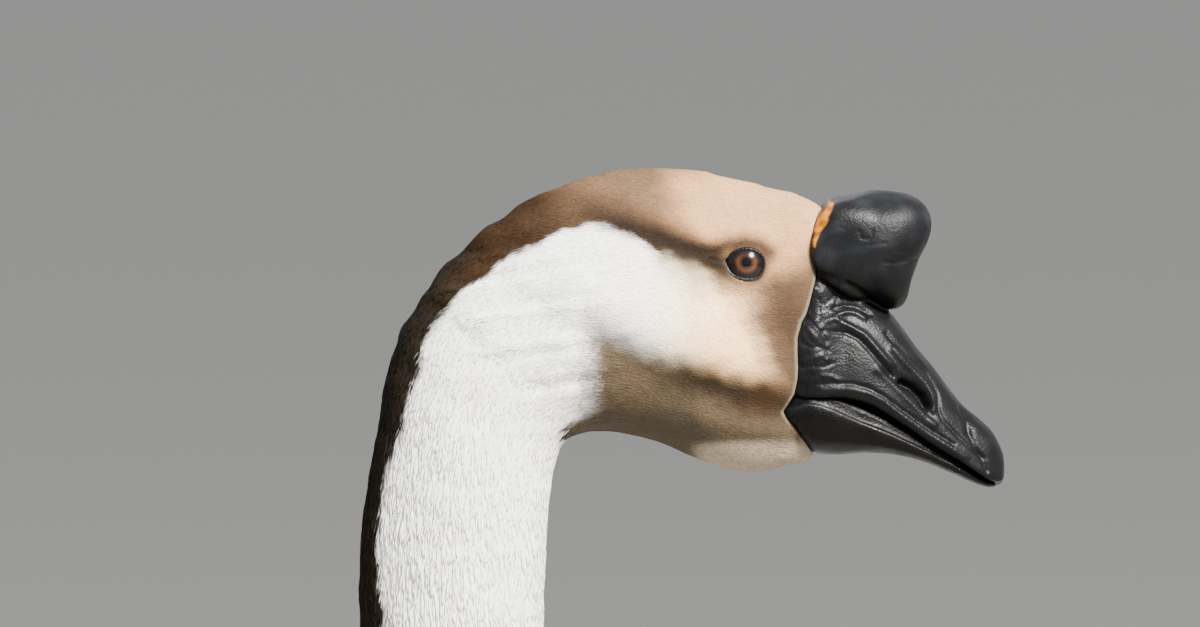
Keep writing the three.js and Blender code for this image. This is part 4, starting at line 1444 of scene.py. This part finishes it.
bodyCoat = {
    "reach": 6.6 * mm, "length": 27 * mm, "width": 17 * mm, "lift": 2.6 * mm, "sink": 1.5 * mm,
    "chance": {"length": 0.12, "width": 0.12, "lift": 0.25, "lie": 0.1}, "tint": 0.05, "form": vaneForm,
    "material": vaneCoat, "slot": "body_feathers", "soft": 0.35,
}
thighCoat = {
    "reach": 3.0 * mm, "length": 14 * mm, "width": 5 * mm, "lift": 1.3 * mm, "sink": 0.8 * mm,
    "chance": {"lie": 0.15, "length": 0.2, "lift": 0.4}, "tint": 0.05, "form": softForm,
    "material": softCoat, "slot": "thigh_feathers", "soft": 0,
}
bodyEnds = {"start": 340, "end": 896}  # along the spine
wingZone = {"start": 428, "end": 835}


def wingReach(station):  # how far round the body the back's and the wing's rows of feathers go, in degrees
    return 96 - 22 * ease(station, 480, 830) - 30 * ease(station, 480, 430)


def onTrunk(points):
    station = stationOf(points)
    rows = (station > wingZone["start"] + 4) & (station < wingZone["end"] - 4)
    rows &= turnOf(points) < wingReach(station) - 4
    long = (station > bodyEnds["start"]) & (station < bodyEnds["end"])
    return long & ~rows & (points[:, 2] > skin["legTop"] - 4 * mm)


def growBody():
    roots, normals = scatter(onTrunk, bodyCoat["reach"])
    station, turn = stationOf(roots), turnOf(roots)
    small = 0.6 + 0.4 * ease(station, bodyEnds["start"], 500)
    shares = {"length": small * (1 + 0.35 * ease(station, 830, 870)), "width": small, "lift": small}
    flank = ease(station, 470, 520) * ease(station, 800, 760) * ease(turn, 124, 108)
    cover("bodyCoat", bodyCoat, roots, normals, shares, 0.1 + 0.75 * flank)

    roots, normals = scatter(lambda points: points[:, 2] < skin["legTop"] + 6 * mm, thighCoat["reach"])
    low = 0.55 + 0.45 * ease(roots[:, 2], 112 * mm, 150 * mm)
    cover("thighCoat", thighCoat, roots, normals, {"length": low, "width": low, "lift": low})


# The back and the folded wings: rows of feathers, each row set between the feathers of the last

coverts = {
    **bodyCoat, "length": 25 * mm, "grow": 20 * mm, "wide": 0.72, "step": 0.42, "gap": 0.66,
    "lift": 4.4 * mm, "tint": 0.06, "slot": "wing_feathers", "soft": 0,
}


def growCoverts():
    places, lengths = [], []
    station, row = wingZone["start"], 0
    while station < wingZone["end"]:
        reach = wingReach(station)
        turns = np.arange(-reach, reach + 0.1, 2)
        points = np.array([onBody(station, turn)[0] for turn in turns])
        arc = np.concatenate([[0], np.cumsum(np.linalg.norm(np.diff(points, axis=0), axis=1))])
        length = coverts["length"] + coverts["grow"] * ease(station, 450, 700)
        gap = length * coverts["wide"] * coverts["gap"]
        count = int(arc[-1] / gap)
        offset = (arc[-1] - count * gap) / 2 + (gap / 2 if row % 2 else 0)
        for k in range(count + (0 if row % 2 else 1)):
            at = np.interp(offset + k * gap, arc, turns) + chance.normal(0, 0.5)
            places.append(onBody(station + chance.normal(0, 0.8), at))
            lengths.append(length)
        station += length / mm * coverts["step"]
        row += 1
    roots, normals = np.array(places).swapaxes(0, 1)
    lengths = np.array(lengths) * varied(len(roots), 0.05)
    lies = lieOf(roots, normals)
    droop = np.where(np.abs(turnOf(roots)) > 30, 0.07, 0)[:, None]
    lies = unit(lies - np.sign(roots[:, 1])[:, None] * np.cross(normals, lies) * droop)
    lies = turned(lies, normals, 0.03)
    lifts = coverts["lift"] * varied(len(roots), 0.15)
    lay("wingCoverts", coverts, roots, normals, lies, lengths, lengths * coverts["wide"], lifts, 0.95)


# The long feathers of the folded wing, row by row: how many, where the first starts and ends along and
# round the body, how far the last is from it, the width, how far root, middle and tip of the first stand
# off the skin and what each next one adds, the colour and the pale edge
quillRows = [
    (10, (632, 86, 762, 72), (40, -24, 58, -26), 25, (3, 5, 3), (0.4, 0.5, 0.5), "flank", 1.0),
    (7, (742, 64, 900, 64), (4, -13, 30, -26), 17, (5, 9, 5), (0.6, 0.7, 1.5), "quill", 0.25),
    (7, (640, 60, 800, 54), (-16, -34, -10, -34), 33, (6, 11, 8), (0.3, 0.4, 0.4), "back", 1.0),
]
quillCoat = {"form": quillForm, "material": vaneCoat, "slot": "quills", "soft": 0}
quillEnd = 880  # the place along the spine from which the tips run on behind the body


def quillLines():
    for side in (1, -1):
        for count, first, change, width, stand, more, colour, fringe in quillRows:
            for i in range(count):
                start, startTurn, end, endTurn = np.array(first) + np.array(change) * (i / (count - 1))
                low, mid, high = (np.array(stand) + np.array(more) * i) * mm
                root, rootNormal = onBody(start, side * startTurn)
                middle, normal = onBody((start + end) / 2, side * (startTurn + endTurn) / 2)
                tip, tipNormal = onBody(min(end, quillEnd), side * endTurn)
                beyond = max(end - quillEnd, 0) * mm
                tip = tip + unit(tip - middle) * beyond + np.array([0, 0, 0.25 * beyond])
                inward, _ = onBody((start + end) / 2, side * ((startTurn + endTurn) / 2 - 12))
                upward = unit(unit(rootNormal + normal + tipNormal) + 0.16 * unit(inward - middle))
                line = (root + rootNormal * low, middle + normal * mid, tip + tipNormal * high)
                yield line, upward, width * mm, plumage[colour], fringe


def growQuills():
    lines, normals, widths, colours, fringes = map(np.array, zip(*quillLines()))
    plant("wingQuills", quillCoat, lines.swapaxes(0, 1), normals, widths, tint(colours, 0.05), fringes)


# The tail: feathers fanned from the middle pair, which lies on top

tailFan = {
    **quillCoat, "slot": "tail_feathers", "pairs": 8, "rootAhead": -492, "rootUp": -424,
    "rootSide": 3.4, "tipAhead": -604, "tipUp": -397, "tipSide": 6.8, "width": 25 * mm,
}


def growTail():
    lines, normals = [], []
    for i in range(tailFan["pairs"]):
        for side in (1, -1):
            out = side * (i + 0.5)
            rootUp, tipUp = tailFan["rootUp"] - i * 0.9, tailFan["tipUp"] - i * 1.6 - 0.06 * i**2
            root = headZero + np.array([tailFan["rootAhead"], out * tailFan["rootSide"], rootUp]) * mm
            tipAhead = tailFan["tipAhead"] + 0.352 * i**2
            tip = headZero + np.array([tipAhead, out * tailFan["tipSide"], tipUp]) * mm
            lines.append((root, (root + tip) / 2 + np.array([0, side * 1.5, -1.5]) * mm, tip))
            normals.append(unit(np.array([0.15, side * 0.03 * i, 1])))
    lines, count = np.array(lines).swapaxes(0, 1), len(lines)
    colours = tint(np.tile(plumage["tail"], (count, 1)), 0.04)
    widths, fringes = np.full(count, tailFan["width"]), np.ones(count)
    plant("tailFeathers", tailFan, lines, np.array(normals), widths, colours, fringes)


growHead()
growNeck()
growBody()
growCoverts()
growQuills()
growTail()
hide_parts("tail")
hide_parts("wing_quills_left", "wing_quills_right")
print("coat grown")


# Floor, light and camera

stageLook = {"floor": (0.36, 0.352, 0.33), "far": 80, "air": (0.95, 0.97, 1, 1), "strength": 0.75}
lamps = {  # where from the head, where it's aimed, its size, power and colour
    "key": ((1.3, -1.8, 1.9), (-0.07, 0, -0.08), 1.0, 520, (1, 0.97, 0.92)),
    "rim": ((-0.6, 1.9, 1.2), (0, 0, 0), 1.4, 10, (1, 1, 1)),
}
view = {"away": 3.35, "lens": 300, "aimAhead": -48.9 * mm, "aimUp": -16.2 * mm}


def buildFloor():
    clearSelection()
    bpy.ops.mesh.primitive_plane_add(size=stageLook["far"])
    floor = bpy.context.object
    floor.name = "floor"
    floor.data.materials.append(newMaterial("paleFloor", stageLook["floor"], 0.7)[0])


def aim(made, direction):
    made.rotation_euler = direction.to_track_quat("-Z", "Y").to_euler()


def addLight(name, place, target, size, power, colour):
    bpy.ops.object.light_add(type="AREA", location=place)
    lamp = bpy.context.object
    lamp.name = name
    lamp.data.shape = "DISK"
    lamp.data.size = size
    lamp.data.energy = power
    lamp.data.color = colour
    aim(lamp, target - place)
    lamp.visible_camera = False


def addCamera():
    # a long lens, a little above the eyes, square to the bird's right side
    upward = Vector((0, math.sin(sideLook), math.cos(sideLook)))
    back = Vector((0, -math.cos(sideLook), math.sin(sideLook)))
    eyeFront = Vector((eyeMiddle.x, -eyeSide - eyeRadius, eyeMiddle.z))
    middle = eyeFront + Vector((1, 0, 0)) * view["aimAhead"] + upward * view["aimUp"]
    bpy.ops.object.camera_add(location=middle + back * view["away"])
    made = bpy.context.object
    aim(made, -back)
    made.data.lens = view["lens"]
    made.data.sensor_width = 36
    made.data.clip_start = 0.1
    made.data.clip_end = 200
    bpy.context.scene.camera = made


buildFloor()
for name, (place, target, size, power, colour) in lamps.items():
    addLight(name, Vector(headZero) + Vector(place), Vector(headZero) + Vector(target), size, power, colour)
world = bpy.data.worlds.new("studio")
world.use_nodes = True
air = world.node_tree.nodes["Background"].inputs
air["Color"].default_value = stageLook["air"]
air["Strength"].default_value = stageLook["strength"]
bpy.context.scene.world = world
addCamera()
